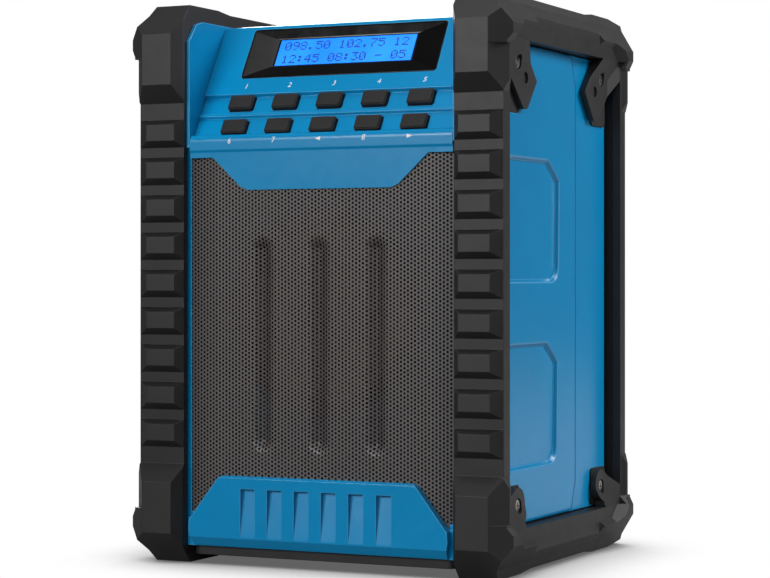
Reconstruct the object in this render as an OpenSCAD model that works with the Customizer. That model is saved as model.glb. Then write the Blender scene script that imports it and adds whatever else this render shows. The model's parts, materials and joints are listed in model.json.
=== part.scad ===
// Jobsite radio: a blue two-shell cabinet held between two black ribbed cage frames.
// Frame: +X to the radio's right side, +Y to the rear, +Z up; the origin is at the
// centre of the footprint, on the ground. All sizes are in millimetres.

/* [Overall] */
// Height over the cage corner blocks
overall_h = 250; // [246:1:256]
// Depth over the cage corner blocks
overall_d = 162; // [158:1:168]
// Distance between the inner faces of the two cage frames
cage_gap = 132; // [130:1:136]

/* [Cage frames] */
// Width of a post, from its inner face to its outer face
post_w = 22.7; // [21:0.1:25]
// Thickness of the post plate in front of the cabinet
post_plate = 3.2; // [2.8:0.1:4]
// How far the corner blocks stand in front of the post
block_proud = 6.3; // [5:0.1:7]
// Height of a corner block's flat face
block_face = 22.8; // [18:0.2:26]
// Height of a corner block's bevel towards the ribs
block_bevel = 7.9; // [6:0.1:9]
// Number of ribs on each post
rib_count = 9; // [5:1:9]
// Distance from one rib to the next
rib_pitch = 16.76; // [15:0.01:16.9]
// How far the ribs stand in front of the post
rib_proud = 3.4; // [2:0.1:4.5]
// Height of a rib at its foot
rib_foot = 12.3; // [10:0.1:13]
// Height of the top and bottom bars
bar_h = 19.4; // [17:0.1:20]
// How far the bars lie back from the corner blocks' tops
bar_drop = 1.2; // [0.8:0.1:3]
// How far the corner blocks bulge out of the frame's side face
bulge = 4.3; // [3:0.1:5]
// Thickness of the fixing ears
ear_t = 2.4; // [2.2:0.1:3]

/* [Cabinet] */
// Width of the cabinet inside the cage windows
cabinet_w = 166; // [162:1:168]
// Wall of the two shells
wall = 3; // [2.4:0.1:3.4]
// Depth of the side recesses
recess_depth = 1.8; // [1:0.1:2]
// Parting line of the two shells, from the middle, towards the rear
parting_y = 23; // [18:1:28]
// Rear face of the cabinet, from the middle
rear_y = 66; // [64:0.5:67]
// Depth of the room under the carry handle, from the top
scoop_depth = 47; // [44:1:50]
// Small gap between pieces that seat on each other
seat = 0.05; // [0.02:0.01:0.1]

/* [Control panel] */
// Lean of the control panel from the vertical, in degrees
panel_lean = 31.3; // [29:0.1:33]
// Depth of the button channels
channel_depth = 1.8; // [1:0.1:2]
// Thickness of the panel behind its front face
panel_t = 3.6; // [3.2:0.1:4]
// Width of the display window
window_w = 96.6; // [90:0.2:100]
// Height of the display window along the panel
window_h = 27; // [25:0.2:28]

/* [Buttons] */
// Number of buttons in a row
button_columns = 5; // [5:1:5]
// Distance from one button to the next
button_pitch = 22.1; // [20:0.1:23]
// Width of a button
button_w = 12.1; // [11:0.1:13]
// Height of a button along the panel
button_h = 7.3; // [6.5:0.1:7.6]
// Gap between a button and its hole
button_gap = 0.25; // [0.2:0.05:0.4]
// Travel of a button
button_travel = 0.8; // [0.5:0.1:0.9]

/* [Speaker and grille] */
// Radius of the speaker opening in the front wall
speaker_r = 46; // [42:0.5:48]
// Depth of the speaker's centre under the top of the cage
speaker_drop = 138; // [136:1:142]
// Distance between the grille's holes
hole_pitch = 6.6; // [6.4:0.1:8]
// Diameter of the grille's holes
hole_d = 4; // [3.4:0.1:4.4]
// Thickness of the grille sheet
grille_t = 1; // [0.8:0.1:1.2]
// How deep the three bars are pressed into the grille
press_depth = 2.6; // [1.8:0.1:2.8]
// Width of a pressed bar
press_w = 11.5; // [9:0.1:12]
// Depth of the pocket behind the grille
pocket_depth = 4; // [3.8:0.1:5]
// Number of slots in the lower mask
slot_count = 6; // [4:1:6]
// Distance between the slots in the lower mask
slot_pitch = 13.3; // [12:0.1:14]

/* [Rear] */
// Width of the battery door
door_w = 88; // [84:1:92]
// Height of the battery door
door_h = 96; // [90:1:98]
// Thickness of the battery door
door_t = 3; // [2.6:0.1:3.4]
// Radius of the battery door's hinge pin
hinge_pin_r = 1.5; // [1.2:0.1:1.8]
// Radial gap between a turning pin and its bore
running_gap = 0.06; // [0.04:0.01:0.09]
// Width of the connector bay
bay_w = 62; // [58:1:66]

/* [Antenna] */
// Radius of the outer antenna tube
tube_r = 3.5; // [3.3:0.1:3.8]
// Wall of the antenna tubes
tube_wall = 0.5; // [0.4:0.05:0.55]
// Length of each antenna section
tube_l = 90; // [80:1:92]
// Height of the antenna's pivot under the floor below the handle
ant_drop = 8; // [7:0.5:12]

/* [Handle] */
// Radius of the handle's rubber grip
grip_r = 10; // [9:0.2:10.4]
// Radius of the steel rod in the handle
rod_r = 5; // [4:0.1:6]

/* [Hidden] */

$fn = 48;
eps = 0.01;

// Cage, worked out from the overall sizes
half_d = overall_d / 2;
post_y = half_d - block_proud;          // plane of the grooves between the ribs
plate_y = post_y - post_plate;          // back of the post plate, where the cabinet starts
cage_in = cage_gap / 2;
cage_out = cage_in + post_w;
flange_t = 4;                           // side flange of the post
flange_d = 6.7;                         // depth of that flange
window_y = post_y - flange_d;           // edge of the side window, front and rear
bar_top = overall_h - bar_drop;
bar_bottom = bar_top - bar_h;           // lower edge of the top bar
block_cut_y = 11.7;                     // front blocks' chamfer, along Y
block_cut_z = 13.6;                     // front blocks' chamfer, along Z
rear_cut_y = 15.5;                      // rear blocks' chamfer, along Y
rear_cut_z = 2;                         // rear blocks' chamfer, along Z
rib_bevel_in = 3.25;
rib_bevel_out = 5.1;

// Cabinet
cab_x = cabinet_w / 2;
cab_z0 = overall_h - bar_bottom + 0.3;
cab_z1 = bar_bottom - 0.3;
corner_r = 2;                           // rounding of the cabinet's side view
rear_r = 5.5;                           // rounding of its rear edges
core_x = cage_in - 0.1;                 // middle part, between the cage frames
core_z0 = 8;
scoop_floor = overall_h - scoop_depth;
front_y = -plate_y + 0.2;               // front wall behind the posts
ledge_y = front_y + 1.1;                // where the grille lies
screw_y = half_d - 30.2;                // cage screws, from the middle
screw_z = 30;                           // cage screws, from top and bottom
screw_r = 2;
head_r = 2.7;
head_h = 1.2;                           // height of the cage screws' heads
head_sink = 0.5;                        // how deep they lie in the ears
head_room = 0.6;                        // gap round a sunk screw head

// Control panel: s runs up the slope, h stands out of it, the fold is their origin
fold_y = front_y + 12.4;
fold_z = overall_h - 40.1;
panel_top_s = 38.8;
cheek_x = cage_in - 1.6;                // inner face of the cheeks
lip_y = front_y - 1.3;                  // front of the rolled lip and the cheeks
mask_y = lip_y + 0.6;                   // front of the upper mask
lip_z = fold_z - 25.5;                  // lower end of the lip
mask_low_z = fold_z - 43.5;             // lower edge of the upper mask
mask_low_y = front_y - 4.2;             // front of the lower mask
channel_low_s = -20.4;
row_upper_s = -4.45;
row_lower_s = -17.45;
keys_s = (row_upper_s + row_lower_s) / 2;
window_s = 22.3;
lcd_s = 23.3;

// Speaker
speaker_z = overall_h - speaker_drop;
spk_flange_r = speaker_r + 7;
baffle_t = 3;
felt_y = ledge_y + pocket_depth;        // floor of the pocket, where the felt lies
felt_t = 0.8;
baffle_y = felt_y + baffle_t;           // back of the wall that carries the speaker
spk_seat_y = baffle_y + 0.8;            // behind the gasket

// Rear
door_z = 84;                            // height of the door's centre
door_gap = 0.35;
pack_room = 38;                         // depth of the battery pocket
pocket_y = rear_y - pack_room;          // bottom of the battery pocket
hinge_x = -door_w / 2 - 3.2;
hinge_y = rear_y + 1.1;
knuckle_r = 3;
bay_h = 26;
bay_z = door_z + door_h / 2 + bay_h / 2 + 15; // height of the connector bay's centre
bay_d = 12;
socket_l = 14;                          // depth of the sockets behind their plate
socket_y0 = rear_y - bay_d - socket_l;  // back of the sockets
ant_z = scoop_floor - ant_drop;
ant_y = rear_y + 5.2;
ant_x = 52;                             // antenna pivot
ant_pin_r = 1.6;

// Handle
handle_y = half_d - 69;
handle_z = bar_top - 12;

// ---------- helpers ----------

// Outline in Y and Z, extruded from x0 to x1
module along_x(x0, x1) {
    translate([x0, 0, 0]) rotate([90, 0, 90]) linear_extrude(height = x1 - x0) children();
}

// Outline in X and Z, extruded from y0 to y1
module along_y(y0, y1) {
    translate([0, y1, 0]) rotate([90, 0, 0]) linear_extrude(height = y1 - y0) children();
}

// Outline in X and Y, extruded from z0 to z1
module along_z(z0, z1) {
    translate([0, 0, z0]) linear_extrude(height = z1 - z0) children();
}

module block(x0, x1, y0, y1, z0, z1) {
    translate([x0, y0, z0]) cube([x1 - x0, y1 - y0, z1 - z0]);
}

module round_rect(x0, x1, y0, y1, r) {
    translate([x0 + r, y0]) square([x1 - x0 - 2 * r, y1 - y0]);
    translate([x0, y0 + r]) square([x1 - x0, y1 - y0 - 2 * r]);
    for (x = [x0 + r, x1 - r], y = [y0 + r, y1 - r]) translate([x, y]) circle(r = r);
}

// Pin or bore from a to b along one axis
module rod_x(x0, x1, y, z, r) { translate([x0, y, z]) rotate([0, 90, 0]) cylinder(r = r, h = x1 - x0); }
module rod_y(y0, y1, x, z, r) { translate([x, y1, z]) rotate([90, 0, 0]) cylinder(r = r, h = y1 - y0); }
module rod_z(z0, z1, x, y, r) { translate([x, y, z0]) cylinder(r = r, h = z1 - z0); }

module both_sides() {
    children();
    mirror([1, 0, 0]) children();
}

module front_and_rear() {
    children();
    mirror([0, 1, 0]) children();
}

module top_and_bottom() {
    children();
    translate([0, 0, overall_h]) mirror([0, 0, 1]) children();
}

// Local axes of the control panel: X across, Y up the slope, Z out of the panel
module on_panel(s = 0, h = 0, x = 0) {
    translate([x, fold_y, fold_z]) rotate([90 - panel_lean, 0, 0]) translate([0, s, h]) children();
}

// A point of the panel's profile, as [y, z]
function panel_pt(s, h) = [
    fold_y + s * sin(panel_lean) - h * cos(panel_lean),
    fold_z + s * cos(panel_lean) + h * sin(panel_lean)
];

// ---------- cage frames ----------

function block_side(front, top) = [
    for (p = [[half_d - (front < 0 ? block_cut_y : rear_cut_y), 0],
              [half_d, front < 0 ? block_cut_z : rear_cut_z],
              [half_d, block_cut_z + block_face],
              [post_y, block_cut_z + block_face + block_bevel]])
        [front * p[0], top > 0 ? overall_h - p[1] : p[1]]
];

function reversed(list) = [for (i = [len(list) - 1 : -1 : 0]) list[i]];

foot_in = half_d - 37;                  // where the blocks' tops end
foot_ramp = 11;                         // length of the rise from a bar to a block's top
module frame_side_outline() {
    polygon(concat(
        [[-foot_in, 0]], block_side(-1, -1), reversed(block_side(-1, 1)), [[-foot_in, overall_h]],
        [[-foot_in + foot_ramp, bar_top], [foot_in - foot_ramp, bar_top], [foot_in, overall_h]],
        block_side(1, 1), reversed(block_side(1, -1)), [[foot_in, 0]],
        [[foot_in - foot_ramp, bar_drop], [-foot_in + foot_ramp, bar_drop]]));
}

// Half of the frame's front view, from the ground to the middle of its height:
// the foot's edge, the knee over it, and either the plain post or the corner's bulge and ridge
foot_edge = 5.4;
knee_x = 3.7;
knee_z = 4.7;
bulge_z = [15.3, 19.8];
ridge = 2;
ridge_z = [23.2, 39.4, 44];
knee_slope = (bulge_z[0] - knee_z) / (knee_x + bulge);
function frame_front_half(corner) = concat(
    [[cage_in, 0], [cage_out - foot_edge, 0], [cage_out - knee_x, knee_z]],
    corner ? [[cage_out + bulge, bulge_z[0]], [cage_out + bulge, bulge_z[1]], [cage_out + ridge, ridge_z[0]],
              [cage_out + ridge, ridge_z[1]], [cage_out, ridge_z[2]]]
           : [[cage_out, knee_z + knee_slope * knee_x]]);

module frame_front_outline(corner) {
    half = frame_front_half(corner);
    polygon(concat(half, [for (p = reversed(half)) [p[0], overall_h - p[1]]]));
}

// The frame from above, with the blocks' bevelled front edges
edge_out = 4.6;                         // from a post's side to its front face's edge
module frame_plan_outline() {
    half = [[cage_in, half_d - 5.3], [cage_in + rib_bevel_in, half_d], [cage_out - edge_out, half_d],
            [cage_out, half_d - 5.6]];
    polygon(concat(reversed(half), [for (p = half) [p[0], -p[1]]]));
}

// Ridge on the outer edge of a block, rear and low
module corner_ridge() {
    intersection() {
        along_y(0, half_d) frame_front_outline(true);
        along_z(bulge_z[0], ridge_z[2] + 1) polygon([
            [cage_out - edge_out, half_d], [cage_out + ridge, half_d - 8], [cage_out + ridge, half_d - 9.4],
            [cage_out - 0.5, window_y + 0.6], [cage_out - edge_out, window_y + 0.6]]);
    }
}

// Bumper on the side of a block, rear and low: a corner field and a strip along the bar
bumper_y = foot_in - 4.3;
bumper_ramp = 3.8;
bumper_turn = 39;                       // slope of the corner field's edge, in degrees
module corner_bumper() {
    plan = [[cage_out - edge_out, half_d], [cage_out + bulge, half_d - 6.6],
            [cage_out + bulge, bumper_y + bumper_ramp], [cage_out, bumper_y],
            [cage_out - edge_out, bumper_y]];
    shelf_z = 14.8;
    difference() {
        intersection() {
            along_y(bumper_y + 10, half_d) frame_front_outline(true);
            along_z(0, ridge_z[0] + 1) polygon(plan);
        }
        translate([0, half_d - 23.5, 13]) rotate([bumper_turn, 0, 0])
            along_y(-40, 40) polygon([
                [cage_out - 1, 2.5], [cage_out + bulge + 1, -2.5], [cage_out + bulge + 1, 40],
                [cage_out - 1, 40]]);
    }
    intersection() {
        along_y(bumper_y, half_d - 10) polygon([
            [cage_out - knee_x, knee_z], [cage_out + 2.35, knee_z + knee_slope * (knee_x + 2.35)],
            [cage_out, shelf_z], [cage_out - edge_out, shelf_z], [cage_out - edge_out, knee_z]]);
        along_z(0, shelf_z) polygon(plan);
    }
}

rib_bevel_top = 2.1;
rib_bevel_low = 2.9;
module rib_front_outline() {
    rib_run = (rib_count - 1) * rib_pitch;
    for (i = [0 : rib_count - 1])
        translate([post_y, overall_h / 2 + rib_run / 2 - i * rib_pitch])
            polygon([[-eps, -rib_foot / 2], [-eps, rib_foot / 2],
                     [rib_proud, rib_foot / 2 - rib_bevel_top],
                     [rib_proud, -rib_foot / 2 + rib_bevel_low]]);
}

module rib_plan_outline() {
    polygon([[cage_in, post_y - 1], [cage_in, post_y], [cage_in + rib_bevel_in, post_y + rib_proud],
             [cage_out - rib_bevel_out, post_y + rib_proud], [cage_out - 0.3, post_y],
             [cage_out - 0.3, post_y - 1]]);
}

module ribs() {
    intersection() {
        along_x(cage_in, cage_out) rib_front_outline();
        along_z(0, overall_h) rib_plan_outline();
    }
}

// Ears in the window corners, drawn at the front
module ear_outlines() {
    polygon([[-window_y - 1, bar_bottom + 1], [-screw_y + 4.1, bar_bottom + 1],
             [-screw_y + 21.3, bar_bottom - 16.4], [-screw_y + 10.2, bar_bottom - 29],
             [-screw_y + 6.2, bar_bottom - 29.2], [-window_y - 1, bar_bottom - 8]]);
    translate([-screw_y, screw_z + 0.4]) circle(r = 7.4);
    polygon([[-window_y - 1, 20], [-screw_y + 2, 20], [-screw_y + 2.2, screw_z - 5],
             [-screw_y - 4, screw_z + 6.7], [-window_y - 1, screw_z - 1]]);
}

dimple_y = -screw_y + 8.4;
dimple_z = bar_bottom - 15.7;
ear_x = cab_x + 0.1;                    // back of the ears, against the cabinet
ear_rise = 9;                           // length of the rise from an ear to the frame's face
module ears() {
    difference() {
        union() {
            along_x(ear_x, ear_x + ear_t) ear_outlines();
            intersection() {
                along_x(ear_x, cage_out) ear_outlines();
                union() {
                    top_and_bottom() along_y(-window_y - 1, -screw_y + 30) polygon([
                        [ear_x, overall_h - bar_bottom - 1], [cage_out - 0.1, overall_h - bar_bottom - 1],
                        [cage_out - 0.1, overall_h - bar_bottom],
                        [ear_x + ear_t, overall_h - bar_bottom + ear_rise],
                        [ear_x, overall_h - bar_bottom + ear_rise]]);
                    along_z(overall_h - bar_bottom - 1, bar_bottom + 1) polygon([
                        [ear_x, -window_y - 1], [cage_out - 0.1, -window_y - 1], [cage_out - 0.1, -window_y],
                        [ear_x + ear_t, -window_y + ear_rise], [ear_x, -window_y + ear_rise]]);
                }
            }
        }
        for (z = [screw_z, overall_h - screw_z]) {
            rod_x(ear_x - 1, ear_x + ear_t + 1, -screw_y, z, screw_r + 0.2);
            rod_x(ear_x + ear_t - head_h - head_sink, cage_out + 1, -screw_y, z, head_r + head_room);
        }
        rod_x(ear_x + ear_t - 1, ear_x + ear_t + 1, dimple_y, dimple_z, 2.6);
    }
}

module side_frame() {
    difference() {
        union() {
            intersection() {
                along_x(cage_in, cage_out + bulge) frame_side_outline();
                union() {
                    intersection() {
                        along_y(-half_d, half_d) frame_front_outline(false);
                        along_z(0, overall_h) frame_plan_outline();
                    }
                    top_and_bottom() front_and_rear() {
                        corner_ridge();
                        corner_bumper();
                    }
                }
            }
            front_and_rear() ribs();
        }
        // room for the cabinet behind the post plates
        block(cage_in - 1, cage_out - flange_t, -plate_y, plate_y, overall_h - bar_bottom, bar_bottom);
        // side window
        block(cage_out - flange_t - 1, cage_out + bulge + 1, -window_y, window_y,
              overall_h - bar_bottom, bar_bottom);
        // seat of the handle's rod
        rod_x(cage_in - 1, cage_out - 4, handle_y, handle_z, rod_r + seat);
    }
    front_and_rear() ears();
}

module side_frame_right() { color([0.16, 0.155, 0.16]) side_frame(); }
module side_frame_left() { color([0.16, 0.155, 0.16]) mirror([1, 0, 0]) side_frame(); }

// Pan-head screw along +X, with its head's top at x
module cage_screw(x) {
    difference() {
        union() {
            rod_x(x - head_h, x, 0, 0, head_r);
            rod_x(x - 12, x - head_h + eps, 0, 0, screw_r);
        }
        for (a = [0, 90]) translate([x - 0.8, 0, 0]) rotate([a, 0, 0])
            block(0, 2, -1.7, 1.7, -0.35, 0.35);
    }
}

module frame_screws() {
    color([0.09, 0.09, 0.1]) both_sides() for (y = [-screw_y, screw_y], z = [screw_z, overall_h - screw_z])
        translate([0, y, z]) cage_screw(ear_x + ear_t - head_sink);
}

// Rubber pads between the ears and the cabinet, in shallow notches of the shells
pad_t = 1.6;
pad_in = screw_y - 6.8;
pad_out = screw_y + 11.2;
module pad_outlines(grow = 0) {
    for (z = [[cab_z0 + 1, screw_z + 8.5], [bar_bottom - 31, cab_z1 - 1]])
        round_rect(-pad_out - grow, -pad_in + grow, z[0] - grow, z[1] + grow, 2);
}

module ear_pads() {
    color([0.05, 0.05, 0.055]) both_sides() front_and_rear() difference() {
        along_x(cab_x - pad_t + seat, ear_x - seat) pad_outlines();
        for (z = [screw_z, overall_h - screw_z])
            rod_x(cab_x - pad_t - 1, ear_x + 1, -screw_y, z, screw_r + 0.2);
    }
}

// ---------- cabinet shells ----------

core_top = overall_h - 7;               // top of the ridge behind the panel
rear_in = 0.8;                          // the rear shell is this much narrower
groove_w = 1.2;                         // groove round the rear shell's front edge
groove_d = 0.9;

module cabinet_front_view(inset = 0) {
    round_rect(-cab_x + inset, cab_x - inset, cab_z0 + inset, cab_z1 - inset, corner_r);
    translate([-core_x + inset, core_z0 + inset])
        square([2 * (core_x - inset), core_top - core_z0 - 2 * inset]);
}

module cabinet_plan(inset = 0, r = rear_r) {
    translate([-cab_x + inset, front_y + inset]) square([2 * (cab_x - inset), 60]);
    round_rect(-cab_x + inset, cab_x - inset, front_y + 20, rear_y - inset, r);
}

// Space above the floor under the handle, back from the panel's ridge
scoop_x = cage_in - 4;
ridge_y = -31;
scoop_y = -14;
scoop_slope = (scoop_y - ridge_y) / (core_top - 1 - scoop_floor);
function scoop_slope_y(z) = ridge_y + (core_top - 1 - z) * scoop_slope;
module scoop(grow = 0) {
    along_x(-scoop_x - grow, scoop_x + grow)
        polygon([[ridge_y - grow, core_top + 5], [ridge_y - grow, core_top - 1],
                 [scoop_y - grow, scoop_floor - grow], [rear_y + 5, scoop_floor - grow],
                 [rear_y + 5, core_top + 5]]);
}

// Room over the cabinet's shoulders, between the cage bars
module shoulder_cut() {
    along_x(-core_x - 1, core_x + 1)
        polygon([[ridge_y, core_top + 5], [ridge_y, core_top - 1], [scoop_slope_y(cab_z1), cab_z1],
                 [rear_y + 5, cab_z1], [rear_y + 5, core_top + 5]]);
}

// Everything in front of the control panel's back, between the cheeks
module panel_clear(h, x) {
    along_x(-x, x) polygon([
        panel_pt(panel_top_s + 10, h), panel_pt(channel_low_s - 4.6, h),
        [front_y - 10, fold_z - 25], [front_y - 10, overall_h + 10],
        [panel_pt(panel_top_s + 10, h)[0], overall_h + 10]
    ]);
}

panel_back_h = -panel_t - channel_depth; // back of the panel
opening_s = 7.4;                        // opening behind the panel, its centre and height
opening_h = 61;
board_x = 61;                           // half the keypad board's width
module cabinet_outer() {
    intersection() {
        along_y(lip_y, rear_y) cabinet_front_view();
        along_z(0, overall_h) union() {
            cabinet_plan();
            translate([-core_x, lip_y]) square([2 * core_x, 20]);
        }
        // the core's front edge: flat below the lip, cheeks above it, chamfered at the top
        union() {
            along_x(-core_x, core_x) polygon([
                [front_y, core_z0 - 1], [front_y, lip_z - 0.4], [lip_y, lip_z + 1.6],
                [lip_y, overall_h - 16.6],
                [lip_y + 6.3, overall_h - 8.6], [lip_y + 12, core_top], [rear_y, core_top],
                [rear_y, core_z0 - 1]]);
            along_x(-cab_x, cab_x) polygon([
                [front_y, cab_z0], [front_y, cab_z1], [rear_y, cab_z1], [rear_y, cab_z0]]);
        }
    }
}

module cabinet_cavity() {
    difference() {
        intersection() {
            along_y(baffle_y, rear_y - wall) cabinet_front_view(wall);
            along_z(0, overall_h) cabinet_plan(wall, rear_r - wall);
        }
        scoop(wall);
        panel_clear(panel_back_h - wall, cage_gap);
        // bosses for the cage screws
        both_sides() for (y = [-screw_y, screw_y], z = [screw_z, overall_h - screw_z])
            rod_x(cab_x - 12, cab_x, y, z, 5);
    }
}

// The shells' shares of the side view: their edge turns forward near the top and the bottom
parting_turn = [6, 14];
module parting_outline(far_y, shift) {
    y = parting_y + shift;
    polygon([[far_y, -1], [far_y, overall_h + 1], [y - parting_turn[0], overall_h + 1],
             [y - parting_turn[0], cab_z1], [y, cab_z1 - parting_turn[1]], [y, cab_z0 + parting_turn[1]],
             [y - parting_turn[0], cab_z0], [y - parting_turn[0], -1]]);
}

// Recess in the side wall: a flat field with a cut top corner and a round lower one
recess_h = 54.6;
recess_top = overall_h - 70;
recess_low = 44.5;
module side_recess(z0, z1, y1) {
    along_x(cab_x - recess_depth, cab_x + 1) {
        polygon([[-window_y + 4, z0], [y1 - 8, z0], [y1, z0 + 8], [y1 + 1, z1 - 9],
                 [y1 - 12, z1], [-window_y + 4, z1]]);
        translate([y1 - 8, z0 + 8]) circle(r = 8);
    }
}

// The window above the door hinge, the door and the rest of the rear fittings
module rear_cuts() {
    // battery pocket
    block(-door_w / 2 + 6, door_w / 2 - 6, pocket_y, rear_y + 1,
          door_z - door_h / 2 + 6, door_z + door_h / 2 - 6);
    // rebate for the door
    block(-door_w / 2 - door_gap, door_w / 2 + door_gap, rear_y - door_t - 1, rear_y + 1,
          door_z - door_h / 2 - door_gap, door_z + door_h / 2 + door_gap);
    // room for the hinge knuckles
    block(hinge_x - knuckle_r - 0.5, -door_w / 2 + 1, hinge_y - knuckle_r - 0.5, rear_y + 1,
          door_z - door_h / 2 + 10 - 0.4, door_z + door_h / 2 - 10 + 0.4);
    // connector bay, with the sockets' holes in its floor
    block(-bay_w / 2, bay_w / 2, rear_y - bay_d, rear_y + 1, bay_z - bay_h / 2, bay_z + bay_h / 2);
    socket_holes(rear_y - bay_d - wall - 1, rear_y - bay_d + 1);
}

module shell_body() {
    difference() {
        cabinet_outer();
        difference() {
            cabinet_cavity();
            // walls round the battery pocket and the connector bay
            block(-door_w / 2 - 10, door_w / 2 + 10, pocket_y - wall, rear_y,
                  door_z - door_h / 2 - wall, door_z + door_h / 2 + wall);
            block(-bay_w / 2 - wall, bay_w / 2 + wall, rear_y - bay_d - wall, rear_y,
                  bay_z - bay_h / 2 - wall, bay_z + bay_h / 2 + wall);
        }
        scoop();
        shoulder_cut();
        panel_clear(panel_back_h, cheek_x);
        // opening behind the panel for the display and the keypad board
        on_panel(opening_s, panel_back_h - wall - 1) linear_extrude(height = wall + 2)
            square([2 * board_x + 1, opening_h], center = true);
        // cage screw holes
        both_sides() for (y = [-screw_y, screw_y], z = [screw_z, overall_h - screw_z])
            rod_x(cab_x - 11, cab_x + 1, y, z, screw_r + seat);
        // notches for the ears' pads
        both_sides() front_and_rear() along_x(cab_x - pad_t, cab_x + 1) pad_outlines(0.1);
    }
}

boss_x = cab_x - 13;
boss_points = [for (x = [-boss_x, boss_x], z = [40, overall_h - 60]) [x, z]];
module shell_boss_row(y0, y1, r) {
    for (p = boss_points) rod_y(y0, y1, p[0], p[1], r);
}

module front_shell() {
    color([0.0, 0.42, 0.66]) difference() {
        union() {
            intersection() {
                shell_body();
                along_x(-cab_x, cab_x) parting_outline(lip_y - 1, 0);
            }
            shell_boss_row(baffle_y - eps, parting_y, 4.5);
            for (x = [-foot_grid, foot_grid]) rod_z(core_z0 + 1, core_z0 + 8, x, -foot_grid, 4.5);
        }
        at_base_screws() rod_z(core_z0 - 1, core_z0 + 7, 0, 0, screw_r + seat);
        shell_boss_row(parting_y - 14, parting_y + 1, screw_r + seat);
        both_sides() {
            side_recess(recess_top - recess_h, recess_top, 3);
            side_recess(recess_low, recess_low + recess_h, 1);
        }
        // grille bed, the pocket behind it and the speaker opening
        block(-cage_in - 0.8, cage_in + 0.8, front_y - 1, ledge_y, grille_z0 - 0.3, grille_z1 + 0.4);
        block(-pocket_x, pocket_x, ledge_y - 1, felt_y, pocket_z0, pocket_z1);
        rod_y(felt_y - 1, baffle_y + 1, 0, speaker_z, speaker_r);
        for (a = [45 : 90 : 315])
            rod_y(felt_y - 1, baffle_y + 1, (speaker_r + 4) * cos(a), speaker_z + (speaker_r + 4) * sin(a),
                  1.5 + seat);
    }
}

module rear_shell() {
    color([0.0, 0.42, 0.66]) difference() {
        union() {
            intersection() {
                shell_body();
                union() {
                    along_x(-cab_x + rear_in, cab_x - rear_in) parting_outline(rear_y + 1, groove_w);
                    along_x(-cab_x + rear_in + groove_d, cab_x - rear_in - groove_d)
                        parting_outline(rear_y + 1, seat);
                }
            }
            shell_boss_row(parting_y + seat, rear_y - 0.5, 4.5);
            for (x = [-foot_grid, foot_grid]) rod_z(core_z0 + 1, core_z0 + 8, x, foot_grid, 4.5);
            // hinge knuckles at both ends of the door's own
            for (z = [door_z - 30, door_z + 18]) {
                rod_z(z, z + 12, hinge_x, hinge_y, knuckle_r);
                block(hinge_x - knuckle_r, hinge_x, rear_y - 4, hinge_y, z, z + 12);
            }
        }
        rear_cuts_kept();
        at_base_screws() rod_z(core_z0 - 1, core_z0 + 7, 0, 0, screw_r + seat);
        shell_boss_row(parting_y - 1, rear_y + 1, screw_r + 0.2);
        shell_boss_row(rear_y - 6, rear_y + 1, head_r + head_room);
        rod_z(door_z - 31, door_z + 31, hinge_x, hinge_y, hinge_pin_r + seat);
    }
}

// Rear cuts, with the knuckles' own ground left standing
module rear_cuts_kept() {
    difference() {
        rear_cuts();
        for (z = [door_z - 30, door_z + 18])
            block(hinge_x - knuckle_r - 2, hinge_x + knuckle_r, rear_y - 8, rear_y + 8, z, z + 12);
    }
}

module shell_screws() {
    color([0.09, 0.09, 0.1]) for (p = boss_points) {
        rod_y(rear_y - 6 + seat, rear_y - 4, p[0], p[1], head_r);
        rod_y(parting_y - 12, rear_y - 6 + seat + eps, p[0], p[1], screw_r);
    }
}

tray_h = 4;
tray_seat_z = core_z0 - 2;              // where the tray's screws bear
foot_grid = 50;
module at_base_screws() {
    for (x = [-foot_grid, foot_grid], y = [-foot_grid, foot_grid]) translate([x, y, 0]) children();
}

module base_tray() {
    color([0.06, 0.06, 0.065]) difference() {
        along_z(core_z0 - tray_h, core_z0 - seat)
            round_rect(-core_x + 2, core_x - 2, front_y + 1, rear_y - 3, 4);
        at_base_screws() {
            rod_z(core_z0 - tray_h - 1, core_z0 + 1, 0, 0, screw_r + 0.2);
            rod_z(core_z0 - tray_h - 1, tray_seat_z, 0, 0, head_r + head_room);
        }
    }
}

module base_screws() {
    color([0.5, 0.5, 0.52]) at_base_screws() {
        rod_z(tray_seat_z - 1.8, tray_seat_z - seat, 0, 0, head_r);
        rod_z(tray_seat_z - 1, core_z0 + 6, 0, 0, screw_r);
    }
}

// ---------- control panel and masks ----------

lip_r = 3.2;
function arc_pts(cy, cz, r, a0, a1, n) = [
    for (i = [0 : n]) let (a = a0 + (a1 - a0) * i / n) [cy + r * cos(a), cz + r * sin(a)]
];

ridge_s0 = -9.5;
ridge_s1 = -12;
module panel_profile() {
    lip_top = panel_pt(-24.4, 0);
    polygon(concat(
        [panel_pt(panel_top_s, -1.2), panel_pt(panel_top_s - 1.2, 0), panel_pt(0, 0),
         panel_pt(-0.6, -channel_depth), panel_pt(ridge_s0, -channel_depth),
         panel_pt(ridge_s0 - 0.6, -0.6), panel_pt(ridge_s1 + 0.6, -0.6),
         panel_pt(ridge_s1, -channel_depth), panel_pt(channel_low_s, -channel_depth)],
        arc_pts(lip_y + lip_r, lip_top[1] - 0.8, lip_r, 120, 180, 6),
        [[lip_y, lip_z], [mask_y, lip_z - 1], [mask_y, lip_z - 3.4], [front_y - 0.05, lip_z - 3.4],
         [front_y - 0.05, lip_z + 2.8], panel_pt(channel_low_s, panel_back_h + 0.4),
         panel_pt(panel_top_s, panel_back_h + 0.4)]));
}

// Points of one side, with their mirror images in reversed order after them
function both_halves(pts) = concat(pts, [for (p = reversed(pts)) [-p[0], p[1]]]);

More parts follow.
